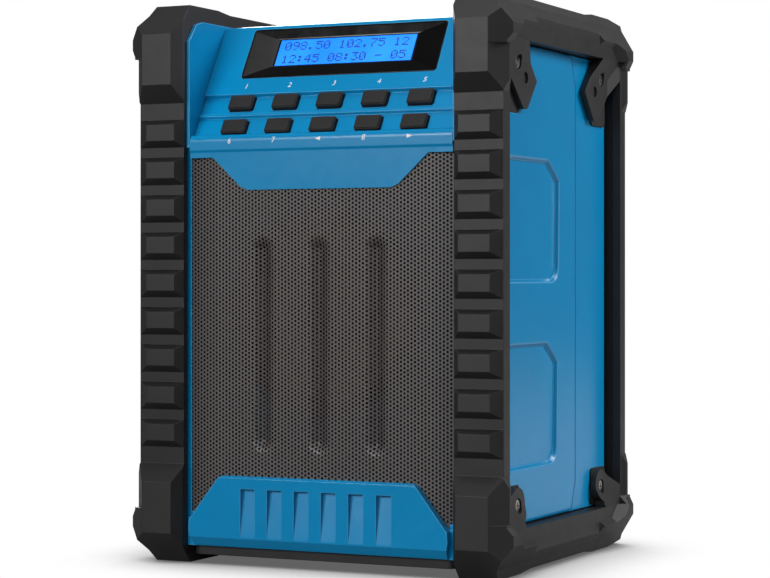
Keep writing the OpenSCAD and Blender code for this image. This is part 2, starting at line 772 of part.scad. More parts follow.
mask_top_x = 55.3;
mask_low_x = 37.6;
module upper_mask_outline() {
    polygon(both_halves([[mask_low_x - 2.4, mask_low_z], [mask_low_x + 1.2, mask_low_z + 1.6],
                         [mask_top_x, lip_z - 1], [mask_top_x + 1.5, lip_z + 0.6]]));
}

module button_hole_row(s) {
    for (i = [0 : button_columns - 1])
        on_panel(s, panel_back_h - 2, (i - (button_columns - 1) / 2) * button_pitch)
            linear_extrude(height = panel_t + 6)
                round_rect(-button_w / 2 - button_gap, button_w / 2 + button_gap,
                           -button_h / 2 - button_gap, button_h / 2 + button_gap, 1);
}

module control_panel() {
    color([0.0, 0.44, 0.68]) difference() {
        union() {
            along_x(-cheek_x + 0.15, cheek_x - 0.15) panel_profile();
            // posts for the keypad board
            for (x = [-board_x + 2, board_x - 2], s = [keys_s - 6, keys_s + 6])
                on_panel(s, board_h + seat, x) cylinder(r = 1.6, h = panel_back_h + 1 - board_h);
            along_y(mask_y, front_y + seat - 0.1) upper_mask_outline();
        }
        button_hole_row(row_upper_s);
        button_hole_row(row_lower_s);
        // window seat and the opening for the display
        on_panel(window_s, -1.4) linear_extrude(height = 5)
            round_rect(-window_w / 2 - 0.1, window_w / 2 + 0.1, -window_h / 2 - 0.1, window_h / 2 + 0.1, 1.6);
        on_panel(lcd_s, panel_back_h - 1) linear_extrude(height = 8)
            square([72.4, 19], center = true);
        // hollow behind the keys
        on_panel(keys_s, panel_back_h - 1) linear_extrude(height = panel_t - 0.4)
            square([2 * board_x - 8, 21.6], center = true);
    }
}

mask_z0 = 8.3;
mask_crease_z = 12.4;
mask_z1 = 39.9;
mask_corner_x = 47.5;                   // where the lower mask's top and side edges would meet
mask_corner_r = 4;
mask_side_z = 20;
slot_w = 7;
slot_top_z = 34.4;
module lower_mask_outline() {
    side_x = core_x - 3;
    turn = atan2(mask_z1 - mask_side_z, side_x - mask_corner_x);
    arc_x = mask_corner_x - mask_corner_r * tan(turn / 2);
    polygon(both_halves(concat(
        [[core_x - 4, mask_z0], [core_x - 2.6, mask_side_z - 4.4], [side_x, mask_side_z]],
        arc_pts(arc_x, mask_z1 - mask_corner_r, mask_corner_r, 90 - turn, 90, 5))));
}

module lower_mask() {
    color([0.0, 0.44, 0.68]) difference() {
        intersection() {
            along_y(mask_low_y, front_y - seat) lower_mask_outline();
            along_x(-core_x, core_x) polygon([
                [mask_low_y, mask_crease_z], [mask_low_y + 3, mask_z0], [front_y, mask_z0],
                [front_y, mask_z1], [mask_low_y + 0.8, mask_z1], [mask_low_y, mask_z1 - 0.8]]);
        }
        for (i = [0 : slot_count - 1]) {
            x = (i - (slot_count - 1) / 2) * slot_pitch;
            along_x(x - slot_w / 2, x + slot_w / 2) polygon([
                [mask_low_y - 1, slot_top_z], [mask_low_y + 2.8, slot_top_z],
                [mask_low_y, mask_crease_z + 0.6], [mask_low_y - 1, mask_crease_z + 0.6]]);
        }
    }
}

// ---------- grille ----------

grille_x = cage_in + 0.6;
grille_z0 = cab_z0 + 0.1;
grille_z1 = fold_z - 23.7;
grille_y = ledge_y - seat - grille_t;   // front of the sheet
pocket_x = cage_in - 1.4;
pocket_z0 = grille_z0 + 2;
pocket_z1 = grille_z1 - 4;
press_pitch = 27.7;
press_z0 = 50.5;
press_z1 = mask_low_z - 20.4;
press_flank = 2.2;                      // run of the bars' slanted flanks

// Three round-ended bars whose flanks slant in from y0 to y1
module pressed_bars(y0, y1, r0, r1) {
    end_r = press_w / 2;
    for (i = [-1 : 1]) translate([i * press_pitch, 0, 0]) {
        along_z(press_z0 + end_r, press_z1 - end_r)
            polygon([[-r0, y0], [r0, y0], [r1, y1], [-r1, y1]]);
        for (z = [press_z0 + end_r, press_z1 - end_r])
            translate([0, y0, z]) rotate([-90, 0, 0]) cylinder(r1 = r0, r2 = r1, h = y1 - y0);
    }
}

module grille_holes() {
    row_h = hole_pitch * sqrt(3) / 2;
    cols = floor((2 * speaker_r + 16) / hole_pitch / 2);
    rows = floor((mask_low_z - mask_z1 - 4) / row_h / 2);
    for (j = [-rows : rows], i = [-cols : cols])
        translate([(i + (abs(j) % 2) / 2) * hole_pitch, (mask_low_z + mask_z1) / 2 + j * row_h])
            circle(d = hole_d, $fn = 6);
}

module grille() {
    back_y = grille_y + grille_t;
    bar_r = press_w / 2;
    color([0.34, 0.32, 0.31]) difference() {
        union() {
            along_y(grille_y, back_y)
                translate([-grille_x, grille_z0]) square([2 * grille_x, grille_z1 - grille_z0]);
            pressed_bars(back_y - eps, back_y + press_depth, bar_r + 0.4, bar_r - press_flank + 0.8);
        }
        pressed_bars(grille_y - eps, grille_y + press_depth, bar_r, bar_r - press_flank);
        along_y(grille_y - 1, back_y + press_depth + 1) grille_holes();
    }
}

// Black felt on the floor of the pocket, round the speaker opening
module baffle_felt() {
    color([0.03, 0.03, 0.03]) difference() {
        block(-pocket_x + 0.3, pocket_x - 0.3, felt_y - felt_t, felt_y - seat,
              pocket_z0 + 0.3, pocket_z1 - 0.3);
        rod_y(felt_y - felt_t - 1, felt_y + 1, 0, speaker_z, speaker_r);
    }
}

// ---------- display and keys ----------

// Black window frame: its four inner faces slope down to the lit field
lit_w = 67.8;
lit_h = 14.2;
window_back_h = -1.35;
window_front_h = 0.25;
window_rim = 0.7;
module display_recess() {
    low = window_back_h - 0.1;
    lit_s = lcd_s - window_s;
    half_w = window_w / 2 - window_rim;
    half_h = window_h / 2 - window_rim;
    intersection() {
        along_y(-window_h, window_h) polygon(both_halves([
            [lit_w / 2, low], [lit_w / 2, window_back_h],
            [half_w, window_front_h], [half_w, window_front_h + 1]]));
        along_x(-window_w, window_w) polygon([
            [lit_s - lit_h / 2, low], [lit_s + lit_h / 2, low], [lit_s + lit_h / 2, window_back_h],
            [half_h, window_front_h], [half_h, window_front_h + 1], [-half_h, window_front_h + 1],
            [-half_h, window_front_h], [lit_s - lit_h / 2, window_back_h]]);
    }
}

module lcd_window() {
    color([0.03, 0.03, 0.035]) on_panel(window_s) difference() {
        translate([0, 0, window_back_h]) linear_extrude(height = window_front_h - window_back_h)
            round_rect(-window_w / 2, window_w / 2, -window_h / 2, window_h / 2, 1.6);
        display_recess();
    }
}

module lcd_module() {
    color([0.1, 0.45, 0.9]) {
        on_panel(lcd_s, panel_back_h + 0.3) linear_extrude(height = -panel_back_h - 1.8)
            square([71.6, 18.4], center = true);
        on_panel(lcd_s, panel_back_h - 1.3) linear_extrude(height = 1.6 + eps)
            square([84, 26.6], center = true);
    }
}

board_h = panel_back_h - 2.2;           // top of the keypad board
module keypad_board() {
    color([0.05, 0.3, 0.12]) on_panel(keys_s, board_h - 1.6) linear_extrude(height = 1.6)
        square([2 * board_x, 22], center = true);
}

stem_h = -channel_depth - 3.2;          // lower end of a button
dome_h = stem_h - button_travel - 0.3 - board_h; // height of a dome over the board
module dome_switches() {
    color([0.75, 0.75, 0.77]) for (s = [row_upper_s, row_lower_s], i = [0 : button_columns - 1])
        on_panel(s, board_h + seat, (i - (button_columns - 1) / 2) * button_pitch) {
            linear_extrude(height = dome_h - 0.6) square([6, 5], center = true);
            linear_extrude(height = dome_h) circle(r = 1.7);
        }
}

button_out = 2.5;                       // how far a button stands over its channel
module button(s, i) {
    color([0.15, 0.14, 0.14])
        on_panel(s, 0, (i - 3) * button_pitch) {
            translate([0, 0, -channel_depth + button_out - 0.5 - eps]) linear_extrude(height = 0.5)
                round_rect(-button_w / 2 + 0.5, button_w / 2 - 0.5,
                           -button_h / 2 + 0.5, button_h / 2 - 0.5, 0.9);
            translate([0, 0, stem_h]) linear_extrude(height = button_out - 0.5 - channel_depth - stem_h)
                round_rect(-button_w / 2, button_w / 2, -button_h / 2, button_h / 2, 0.9);
            translate([0, 0, stem_h]) linear_extrude(height = 0.8)
                square([button_w + 2.4, button_h - 0.2], center = true);
        }
}

// ---------- speaker ----------

// Local axes of the speaker: Z points to the front, 0 is the back of the gasket
module at_speaker() {
    translate([0, spk_seat_y, speaker_z]) rotate([90, 0, 0]) children();
}

cone_r = speaker_r - 8;
neck_z = -20;                           // where the cone meets its neck
magnet_z = -30;
module speaker_gasket() {
    color([0.08, 0.08, 0.08]) at_speaker() difference() {
        cylinder(r = spk_flange_r, h = 0.8 - seat);
        translate([0, 0, -1]) cylinder(r = speaker_r - 0.5, h = 3);
        for (a = [45 : 90 : 315]) rotate(a) translate([speaker_r + 4, 0, -1]) cylinder(r = 1.7, h = 3);
    }
}

module speaker_basket() {
    color([0.13, 0.13, 0.14]) at_speaker() difference() {
        rotate_extrude() polygon([
            [speaker_r - 1.5, 0], [spk_flange_r, 0], [spk_flange_r, -2.2], [speaker_r + 0.5, -2.2],
            [24, -28], [24, magnet_z], [17, magnet_z], [17, -26], [speaker_r - 1.5, -2.4]]);
        for (a = [45 : 90 : 315]) rotate(a) translate([speaker_r + 4, 0, -4]) cylinder(r = 1.7, h = 6);
        // windows between the basket's legs
        for (a = [0 : 60 : 300]) rotate(a) translate([20, -9, -25]) cube([40, 18, 19]);
    }
}

module speaker_surround() {
    color([0.05, 0.05, 0.05]) at_speaker() rotate_extrude() difference() {
        union() {
            translate([cone_r + 3.2, 0.2]) circle(r = 3.2);
            translate([cone_r + 5, 0.05]) square([speaker_r - cone_r - 5.6, 1]);
        }
        translate([cone_r + 3.2, 0.2]) circle(r = 2.4);
        translate([cone_r - 1, -5]) square([12, 5.05]);
    }
}

module speaker_cone() {
    color([0.1, 0.1, 0.105]) at_speaker() rotate_extrude() polygon([
        [cone_r, 0], [cone_r - 1.2, 0], [13.6, neck_z], [13.6, neck_z - 5], [14.6, neck_z - 5],
        [14.6, neck_z - 0.4], [cone_r, -1.2]]);
}

cap_r = 16;                             // crown radius of the dust cap
cap_z = -28.4;                          // centre of that crown
module speaker_dust_cap() {
    color([0.07, 0.07, 0.07]) at_speaker() rotate_extrude() difference() {
        intersection() {
            translate([0, cap_z]) circle(r = cap_r);
            translate([0, neck_z + seat]) square([cap_r, cap_r]);
        }
        intersection() {
            translate([0, cap_z]) circle(r = cap_r - 0.8);
            translate([-1, neck_z - 1]) square([cap_r, cap_r]);
        }
    }
}

module speaker_magnet() {
    color([0.3, 0.3, 0.31]) at_speaker() {
        translate([0, 0, magnet_z - 16]) cylinder(r = 30, h = 13);
        translate([0, 0, magnet_z - 3 - eps]) cylinder(r = 26, h = 3);
        translate([0, 0, magnet_z - 0.1]) cylinder(r = 11.5, h = 9);
    }
}

module speaker_screws() {
    color([0.6, 0.6, 0.62]) at_speaker() for (a = [45 : 90 : 315])
        rotate(a) translate([speaker_r + 4, 0, 0]) {
            translate([0, 0, -4.2]) cylinder(r = 2.8, h = 2 - seat);
            translate([0, 0, -2.3]) cylinder(r = 1.5, h = 5.8);
        }
}

// ---------- electronics ----------

board_y = pocket_y - wall - 8;
pcb_x = cab_x - 31;                     // half the main board's width
pcb_z0 = door_z + 8;
pcb_z1 = lip_z - 0.4;
pcb_back = board_y - 1.6;               // its front, where the parts stand
module main_board() {
    color([0.05, 0.3, 0.12]) {
        along_y(pcb_back, board_y) translate([-pcb_x, pcb_z0]) square([2 * pcb_x, pcb_z1 - pcb_z0]);
        for (x = [8 - pcb_x, pcb_x - 8], z = [pcb_z0 + 8, pcb_z0 + 36])
            rod_y(board_y - eps, pocket_y - wall - seat, x, z, 3);
    }
}

module heat_sink() {
    color([0.7, 0.7, 0.72]) {
        block(6 - pcb_x, 36 - pcb_x, pcb_back - 4, pcb_back - seat, pcb_z1 - 34, pcb_z1 - 6);
        for (i = [0 : 5]) translate([6 - pcb_x + i * 5.6, 0, 0])
            block(0, 2, pcb_back - 14.4, pcb_back - 4 + eps, pcb_z1 - 34, pcb_z1 - 6);
    }
}

module tuner_can() {
    color([0.78, 0.78, 0.8]) block(pcb_x - 44, pcb_x - 12, pcb_back - 7.4, pcb_back - seat,
                                      pcb_z1 - 36, pcb_z1 - 8);
}

// ---------- battery ----------

pack_x = door_w / 2 - 8;
pack_z0 = door_z - door_h / 2 + 6 + seat;
module battery_pack() {
    color([0.1, 0.1, 0.11]) difference() {
        along_z(pack_z0, door_z + door_h / 2 - 14)
            round_rect(-pack_x, pack_x, pocket_y + seat, rear_y - door_t - 3, 6);
        for (i = [-2 : 2]) translate([i * 7, 0, 0])
            block(-1, 1, pocket_y - 1, pocket_y + 12, door_z + door_h / 2 - 20, door_z + door_h / 2);
        both_sides()
            block(pack_x - 2, pack_x + 1, pocket_y + 8, pocket_y + 11, pack_z0 + 20, door_z + door_h / 2);
    }
}

module battery_terminals() {
    color([0.8, 0.62, 0.25]) for (i = [-2 : 2])
        translate([i * 7, 0, 0]) block(-0.4, 0.4, pocket_y + seat, pocket_y + 10,
                                       door_z + door_h / 2 - 18, door_z + door_h / 2 - 6 - seat);
}

module battery_door() {
    color([0.0, 0.42, 0.66]) difference() {
        union() {
            along_y(rear_y - door_t, rear_y)
                round_rect(-door_w / 2, door_w / 2, door_z - door_h / 2, door_z + door_h / 2, 3);
            // three stiffening fields
            for (i = [-1 : 1]) translate([i * 24, 0, 0])
                block(-9, 9, rear_y - eps, rear_y + 0.8, door_z - 34, door_z + 26);
            // knuckle in the middle of the hinge
            rod_z(door_z - 17.6, door_z + 17.6, hinge_x, hinge_y, knuckle_r);
            block(hinge_x, -door_w / 2 + 2, rear_y - 1.5, rear_y + 1, door_z - 17.6, door_z + 17.6);
        }
        rod_z(door_z - 20, door_z + 20, hinge_x, hinge_y, hinge_pin_r + running_gap);
        // finger notch at the free edge
        rod_z(door_z - 10, door_z + 10, door_w / 2 + 3, rear_y + 3, 6);
    }
}

module door_seal() {
    color([0.05, 0.05, 0.05]) along_y(rear_y - door_t - 1 + seat, rear_y - door_t - 0.3) difference() {
        round_rect(-door_w / 2 + 1, door_w / 2 - 1, door_z - door_h / 2 + 1, door_z + door_h / 2 - 1, 3);
        round_rect(-door_w / 2 + 5, door_w / 2 - 5, door_z - door_h / 2 + 5, door_z + door_h / 2 - 5, 1.5);
    }
}

module door_hinge_pin() {
    color([0.7, 0.7, 0.72]) rod_z(door_z - 30, door_z + 30, hinge_x, hinge_y, hinge_pin_r);
}

// ---------- connectors ----------

plate_top_y = rear_y - bay_d + 2;
dc_x = -18;
dc_r = 5;
aux_x = 0;
aux_r = 4;
usb_x = 18;
usb_w = 15;
usb_h = 8;
module socket_holes(y0, y1) {
    rod_y(y0, y1, dc_x, bay_z, dc_r + seat);
    rod_y(y0, y1, aux_x, bay_z, aux_r + seat);
    block(usb_x - usb_w / 2 - seat, usb_x + usb_w / 2 + seat, y0, y1,
          bay_z - usb_h / 2 - seat, bay_z + usb_h / 2 + seat);
}

module connector_plate() {
    color([0.1, 0.1, 0.11]) difference() {
        block(-bay_w / 2 + 0.1, bay_w / 2 - 0.1, rear_y - bay_d + seat, plate_top_y,
              bay_z - bay_h / 2 + 0.1, bay_z + bay_h / 2 - 0.1);
        socket_holes(rear_y - bay_d - 1, plate_top_y + 1);
    }
}

module dc_inlet() {
    color([0.2, 0.2, 0.21]) {
        difference() {
            rod_y(socket_y0, plate_top_y + 1, dc_x, bay_z, dc_r);
            rod_y(socket_y0 + 1, plate_top_y + 2, dc_x, bay_z, 3.2);
        }
        rod_y(socket_y0 + 0.9, plate_top_y - 0.4, dc_x, bay_z, 1);
    }
}

module aux_socket() {
    color([0.2, 0.2, 0.21]) difference() {
        rod_y(socket_y0, plate_top_y + 1, aux_x, bay_z, aux_r);
        rod_y(socket_y0 + 1, plate_top_y + 2, aux_x, bay_z, 1.8);
    }
}

module usb_socket() {
    color([0.72, 0.72, 0.74]) {
        difference() {
            block(usb_x - usb_w / 2, usb_x + usb_w / 2, socket_y0, plate_top_y + 0.6,
                  bay_z - usb_h / 2, bay_z + usb_h / 2);
            block(usb_x - usb_w / 2 + 0.9, usb_x + usb_w / 2 - 0.9, socket_y0 + 0.8, plate_top_y + 2,
                  bay_z - usb_h / 2 + 1, bay_z + usb_h / 2 - 1);
        }
        block(usb_x - usb_w / 2 + 1.9, usb_x + usb_w / 2 - 1.9, socket_y0 + 0.7, plate_top_y,
              bay_z, bay_z + 1.8);
    }
}

cover_pin_z = bay_z + bay_h / 2 - 2.6;
cover_pin_y = rear_y - 0.4;
module port_cover() {
    color([0.07, 0.07, 0.075]) difference() {
        union() {
            block(-bay_w / 2 + 0.4, bay_w / 2 - 0.4, rear_y - 2, rear_y + 0.4,
                  bay_z - bay_h / 2 + 0.4, cover_pin_z);
            rod_x(-bay_w / 2 + 0.4, bay_w / 2 - 0.4, cover_pin_y, cover_pin_z, 2);
            block(-9, 9, rear_y + 0.4 - eps, rear_y + 1.2,
                  bay_z - bay_h / 2 + 1.2, bay_z - bay_h / 2 + 3.4);
        }
        rod_x(-bay_w / 2 - 1, bay_w / 2 + 1, cover_pin_y, cover_pin_z, 1 + running_gap);
    }
}

module port_cover_pin() {
    color([0.7, 0.7, 0.72]) rod_x(-bay_w / 2 + seat, bay_w / 2 - seat, cover_pin_y, cover_pin_z, 1);
}

// ---------- antenna ----------

knuckle_w = 5;
module antenna_bracket() {
    color([0.1, 0.1, 0.11]) difference() {
        union() {
            block(ant_x - 8, ant_x + 8, rear_y + seat, rear_y + 1.6, ant_z - 9, ant_z + 4);
            rod_y(rear_y + 1.5, ant_y - knuckle_w / 2 - 0.3, ant_x, ant_z, 4);
        }
        rod_y(rear_y - 1, ant_y + 6, ant_x, ant_z, ant_pin_r + seat);
    }
}

module antenna_knuckle() {
    color([0.12, 0.12, 0.13]) difference() {
        union() {
            rod_y(ant_y - knuckle_w / 2, ant_y + knuckle_w / 2, ant_x, ant_z, 4.2);
            rod_z(tube_z, ant_z, ant_x, ant_y, 2.4);
            rod_z(tube_z + seat, ant_z - 5, ant_x, ant_y, tube_r);
            rod_z(tube_z - 2, ant_z - 5, ant_x, ant_y, tube_r - tube_wall - seat);
        }
        rod_y(ant_y - 6, ant_y + 6, ant_x, ant_z, ant_pin_r + running_gap);
    }
}

module antenna_pin() {
    color([0.7, 0.7, 0.72]) {
        rod_y(rear_y + 0.2, ant_y + knuckle_w / 2 + 0.4, ant_x, ant_z, ant_pin_r);
        rod_y(ant_y + knuckle_w / 2 + 0.3, ant_y + knuckle_w / 2 + 1.4, ant_x, ant_z, 2.8);
    }
}

// A section's outer radius: each tube runs inside the one before it
function section_r(i) = tube_r - i * (tube_wall + running_gap);

tube_z = ant_z - 10;                    // root end of the tubes
module antenna_section(i) {
    difference() {
        rod_z(tube_z - tube_l - i * 2, tube_z - i * 4, ant_x, ant_y, section_r(i));
        rod_z(tube_z - tube_l - i * 2 - 1, tube_z - i * 4 + 1, ant_x, ant_y, section_r(i) - tube_wall);
    }
}

module antenna_tube_1() { color([0.8, 0.8, 0.82]) antenna_section(0); }
module antenna_tube_2() { color([0.8, 0.8, 0.82]) antenna_section(1); }
module antenna_tube_3() { color([0.8, 0.8, 0.82]) antenna_section(2); }
module antenna_tip() {
    color([0.8, 0.8, 0.82]) {
        rod_z(tube_z - tube_l - 6, tube_z - 12, ant_x, ant_y, section_r(3));
        rod_z(tube_z - tube_l - 10.5, tube_z - tube_l - 5.5, ant_x, ant_y, 3);
    }
}

// ---------- handle ----------

module handle_rod() {
    color([0.3, 0.3, 0.31]) rod_x(-cage_out + 4 + seat, cage_out - 4 - seat, handle_y, handle_z, rod_r);
}

module handle_grip() {
    color([0.08, 0.08, 0.085]) difference() {
        union() {
            rod_x(-cage_in + 5, cage_in - 5, handle_y, handle_z, grip_r - 0.8);
            for (i = [-4 : 4]) rod_x(i * 12.6 - 5, i * 12.6 + 5, handle_y, handle_z, grip_r);
            both_sides() rod_x(cage_in - 5.5, cage_in - seat, handle_y, handle_z, grip_r - 2.8);
        }
        rod_x(-cage_in - 1, cage_in + 1, handle_y, handle_z, rod_r + seat);
    }
}

side_frame_right();
side_frame_left();
frame_screws();
front_shell();
rear_shell();
shell_screws();
base_tray();
base_screws();
control_panel();
lower_mask();
grille();
baffle_felt();
ear_pads();
lcd_window();
lcd_module();
keypad_board();
dome_switches();
button(row_upper_s, 1);  // button_upper_1
button(row_upper_s, 2);  // button_upper_2
button(row_upper_s, 3);  // button_upper_3
button(row_upper_s, 4);  // button_upper_4
button(row_upper_s, 5);  // button_upper_5
button(row_lower_s, 1);  // button_lower_1
button(row_lower_s, 2);  // button_lower_2
button(row_lower_s, 3);  // button_lower_3
button(row_lower_s, 4);  // button_lower_4
button(row_lower_s, 5);  // button_lower_5
speaker_basket();
speaker_gasket();
speaker_surround();
speaker_cone();
speaker_dust_cap();
speaker_magnet();
speaker_screws();
main_board();
heat_sink();
tuner_can();
battery_pack();
battery_terminals();
battery_door();
door_seal();
door_hinge_pin();
connector_plate();
dc_inlet();
aux_socket();
usb_socket();
port_cover();
port_cover_pin();
antenna_bracket();
antenna_knuckle();
antenna_pin();
antenna_tube_1();
antenna_tube_2();
antenna_tube_3();
antenna_tip();
handle_rod();
handle_grip();
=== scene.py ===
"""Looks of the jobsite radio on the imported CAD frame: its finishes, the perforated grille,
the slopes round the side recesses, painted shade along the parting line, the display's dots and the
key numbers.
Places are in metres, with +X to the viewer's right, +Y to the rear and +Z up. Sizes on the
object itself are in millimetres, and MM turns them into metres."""

import json
import math

import bmesh
import bpy
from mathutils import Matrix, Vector

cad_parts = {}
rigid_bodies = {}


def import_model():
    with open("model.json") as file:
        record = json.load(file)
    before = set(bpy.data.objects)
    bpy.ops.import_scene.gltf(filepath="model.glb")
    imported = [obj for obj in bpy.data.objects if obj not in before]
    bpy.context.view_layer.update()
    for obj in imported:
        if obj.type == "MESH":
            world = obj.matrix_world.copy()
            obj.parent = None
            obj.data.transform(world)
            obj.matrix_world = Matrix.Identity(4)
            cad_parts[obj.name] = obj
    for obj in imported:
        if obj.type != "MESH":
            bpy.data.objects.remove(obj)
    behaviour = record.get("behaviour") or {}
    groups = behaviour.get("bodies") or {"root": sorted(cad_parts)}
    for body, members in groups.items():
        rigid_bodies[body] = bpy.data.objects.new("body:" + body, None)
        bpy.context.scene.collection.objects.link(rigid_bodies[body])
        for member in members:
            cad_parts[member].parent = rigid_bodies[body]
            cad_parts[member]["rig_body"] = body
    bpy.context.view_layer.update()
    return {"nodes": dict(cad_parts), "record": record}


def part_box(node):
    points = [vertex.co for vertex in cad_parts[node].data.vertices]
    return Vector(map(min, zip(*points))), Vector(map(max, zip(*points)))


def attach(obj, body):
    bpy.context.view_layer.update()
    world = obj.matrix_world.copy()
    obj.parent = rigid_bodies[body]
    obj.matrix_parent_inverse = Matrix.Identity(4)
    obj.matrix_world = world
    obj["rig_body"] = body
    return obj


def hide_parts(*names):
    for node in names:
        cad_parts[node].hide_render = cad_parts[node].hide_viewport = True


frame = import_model()
MM = 0.001
SIDES = ((1, "right"), (-1, "left"))


def add_to_scene(name, data):
    """A new object in the scene that shows a camera, a lamp or a mesh."""
    thing = bpy.data.objects.new(name, data)
    bpy.context.scene.collection.objects.link(thing)
    return thing


# ---------- camera ----------

AZIMUTH = math.radians(25.69)
CAMERA_AT = Vector((0.4572, -0.9551, 0.1295))
IMAGE_W = 770
FOCAL_PX = 2283.4
HORIZON_UP_PX = 15.6  # how far the horizon lies above the picture's middle
SENSOR_MM = 36


def add_camera():
    """The photo's camera, level, and shifted down to the photo's frame."""
    data = bpy.data.cameras.new("camera")
    data.sensor_width = SENSOR_MM
    data.lens = FOCAL_PX / IMAGE_W * SENSOR_MM
    data.shift_y = -HORIZON_UP_PX / IMAGE_W
    data.clip_start = 0.05
    data.clip_end = 60
    camera = add_to_scene("camera", data)
    camera.location = CAMERA_AT
    camera.rotation_euler = (math.pi / 2, 0, AZIMUTH)
    bpy.context.scene.camera = camera


# ---------- light and stage ----------

# name, place, target, width and height, watts
LAMPS = (
    ("key", (-0.56, -1.9, 0.8), (0, 0, 0.12), (0.9, 0.7), 25),
    ("fill", (0.62, -1.85, 0.55), (0, 0, 0.12), (1.1, 1.1), 9),
    ("right", (1.4, 0.75, 1.1), (0, 0, 0.12), (0.7, 0.7), 28),
    ("strip", (1.52, 0.5, 0.13), (0, 0, 0.13), (0.12, 0.5), 3),
    ("rear", (-0.95, 1.6, 0.8), (0, 0, 0.12), (0.9, 0.8), 22),
    ("top", (0.05, -0.1, 1.5), (0, 0, 0.15), (0.5, 0.5), 8),
    ("window_card", (-0.2, -0.64, 1.5), (0, 0, 0.2), (0.6, 0.3), 0.8),
)
SKY_STRENGTH = 0.02
MIRRORED_SHARE = 0.1  # of the white background, in reflections; more hazes the black window
FLOOR_HALF = 6.0
DARK_FLOOR = 0.07  # grey that the object reflects in front
PALE_FLOOR = 0.48  # and behind it
FLOOR_RAMP = (-0.25, 0.2)  # the grey changes between these two places along Y
SHADOW_REACH = 0.06  # how far from the object the floor darkens
SHADOW_DARK = 0.12  # and how dark it gets beneath it
SHADOW_RAMP = (0.25, 0.9)  # open shares of the sky where the shadow is full, and where it ends


def add_softbox(name, at, target, size, power):
    """A rectangular area lamp at a point, turned towards another."""
    data = bpy.data.lights.new(name, "AREA")
    data.shape = "RECTANGLE"
    data.size, data.size_y = size
    data.energy = power
    lamp = add_to_scene(name, data)
    lamp.location = at
    lamp.rotation_euler = (Vector(target) - Vector(at)).to_track_quat("-Z", "Y").to_euler()


def add_world():
    """Faint even light. Past the floor, the camera and clear pieces see white, mirrors a share."""
    world = bpy.data.worlds.new("studio")
    bpy.context.scene.world = world
    world.use_nodes = True
    nodes, links = world.node_tree.nodes, world.node_tree.links
    nodes.clear()
    path = nodes.new("ShaderNodeLightPath")
    light = nodes.new("ShaderNodeBackground")
    light.inputs["Strength"].default_value = SKY_STRENGTH
    white = nodes.new("ShaderNodeBackground")
    white.inputs["Color"].default_value = (1, 1, 1, 1)
    seen = nodes.new("ShaderNodeMath")
    seen.operation = "MAXIMUM"
    mirrored = nodes.new("ShaderNodeMath")
    mirrored.operation = "MULTIPLY_ADD"
    mirrored.use_clamp = True
    mirrored.inputs[1].default_value = MIRRORED_SHARE
    mix = nodes.new("ShaderNodeMixShader")
    out = nodes.new("ShaderNodeOutputWorld")
    links.new(path.outputs["Is Camera Ray"], seen.inputs[0])
    links.new(path.outputs["Is Transmission Ray"], seen.inputs[1])
    links.new(path.outputs["Is Glossy Ray"], mirrored.inputs[0])
    links.new(seen.outputs[0], mirrored.inputs[2])
    links.new(mirrored.outputs[0], mix.inputs["Fac"])
    links.new(light.outputs[0], mix.inputs[1])
    links.new(white.outputs[0], mix.inputs[2])
    links.new(mix.outputs[0], out.inputs["Surface"])


def add_floor():
    """Grey floor that the camera sees white, with a soft shadow close to the object."""
    half = FLOOR_HALF
    corners = [(-half, -half, 0), (half, -half, 0), (half, half, 0), (-half, half, 0)]
    mesh = bpy.data.meshes.new("floor")
    mesh.from_pydata(corners, [], [(0, 1, 2, 3)])
    floor = add_to_scene("floor", mesh)
    material = bpy.data.materials.new("floor_white")
    material.use_nodes = True
    nodes, links = material.node_tree.nodes, material.node_tree.links
    nodes.clear()
    path = nodes.new("ShaderNodeLightPath")
    matt = nodes.new("ShaderNodeBsdfDiffuse")
    grey = remap(material, object_y(material), DARK_FLOOR, PALE_FLOOR, *FLOOR_RAMP)
    links.new(grey, matt.inputs["Color"])
    shade = nodes.new("ShaderNodeAmbientOcclusion")
    shade.samples = 12
    shade.inputs["Distance"].default_value = SHADOW_REACH
    shadow = remap(material, shade.outputs["AO"], SHADOW_DARK, 1, *SHADOW_RAMP)
    glow = nodes.new("ShaderNodeEmission")
    links.new(shadow, glow.inputs["Strength"])
    mix = nodes.new("ShaderNodeMixShader")
    out = nodes.new("ShaderNodeOutputMaterial")
    links.new(path.outputs["Is Camera Ray"], mix.inputs["Fac"])
    links.new(matt.outputs[0], mix.inputs[1])
    links.new(glow.outputs[0], mix.inputs[2])
    links.new(mix.outputs[0], out.inputs["Surface"])
    mesh.materials.append(material)


# ---------- shader parts ----------


def principled(name, colour, roughness, metallic=0.0):
    """A new material and its main shader; these values show where a viewer skips the nodes."""
    material = bpy.data.materials.new(name)
    material.use_nodes = True
    shader = material.node_tree.nodes["Principled BSDF"]
    shader.inputs["Base Color"].default_value = (*colour, 1)
    shader.inputs["Roughness"].default_value = roughness
    shader.inputs["Metallic"].default_value = metallic
    return material, shader


def noise(material, scale, detail, stretch=(1, 1, 1)):
    """Noise fixed to the object's own coordinates; scale is in waves per metre."""
    nodes, links = material.node_tree.nodes, material.node_tree.links
    place = nodes.new("ShaderNodeTexCoord")
    mapping = nodes.new("ShaderNodeMapping")
    mapping.inputs["Scale"].default_value = stretch
    texture = nodes.new("ShaderNodeTexNoise")
    texture.inputs["Scale"].default_value = scale
    texture.inputs["Detail"].default_value = detail
    links.new(place.outputs["Object"], mapping.inputs["Vector"])
    links.new(mapping.outputs["Vector"], texture.inputs["Vector"])
    return texture.outputs["Fac"]


def object_y(material):
    """A socket with the place along Y in the object's own coordinates."""
    nodes, links = material.node_tree.nodes, material.node_tree.links
    place = nodes.new("ShaderNodeTexCoord")
    split = nodes.new("ShaderNodeSeparateXYZ")
    links.new(place.outputs["Object"], split.inputs["Vector"])
    return split.outputs["Y"]


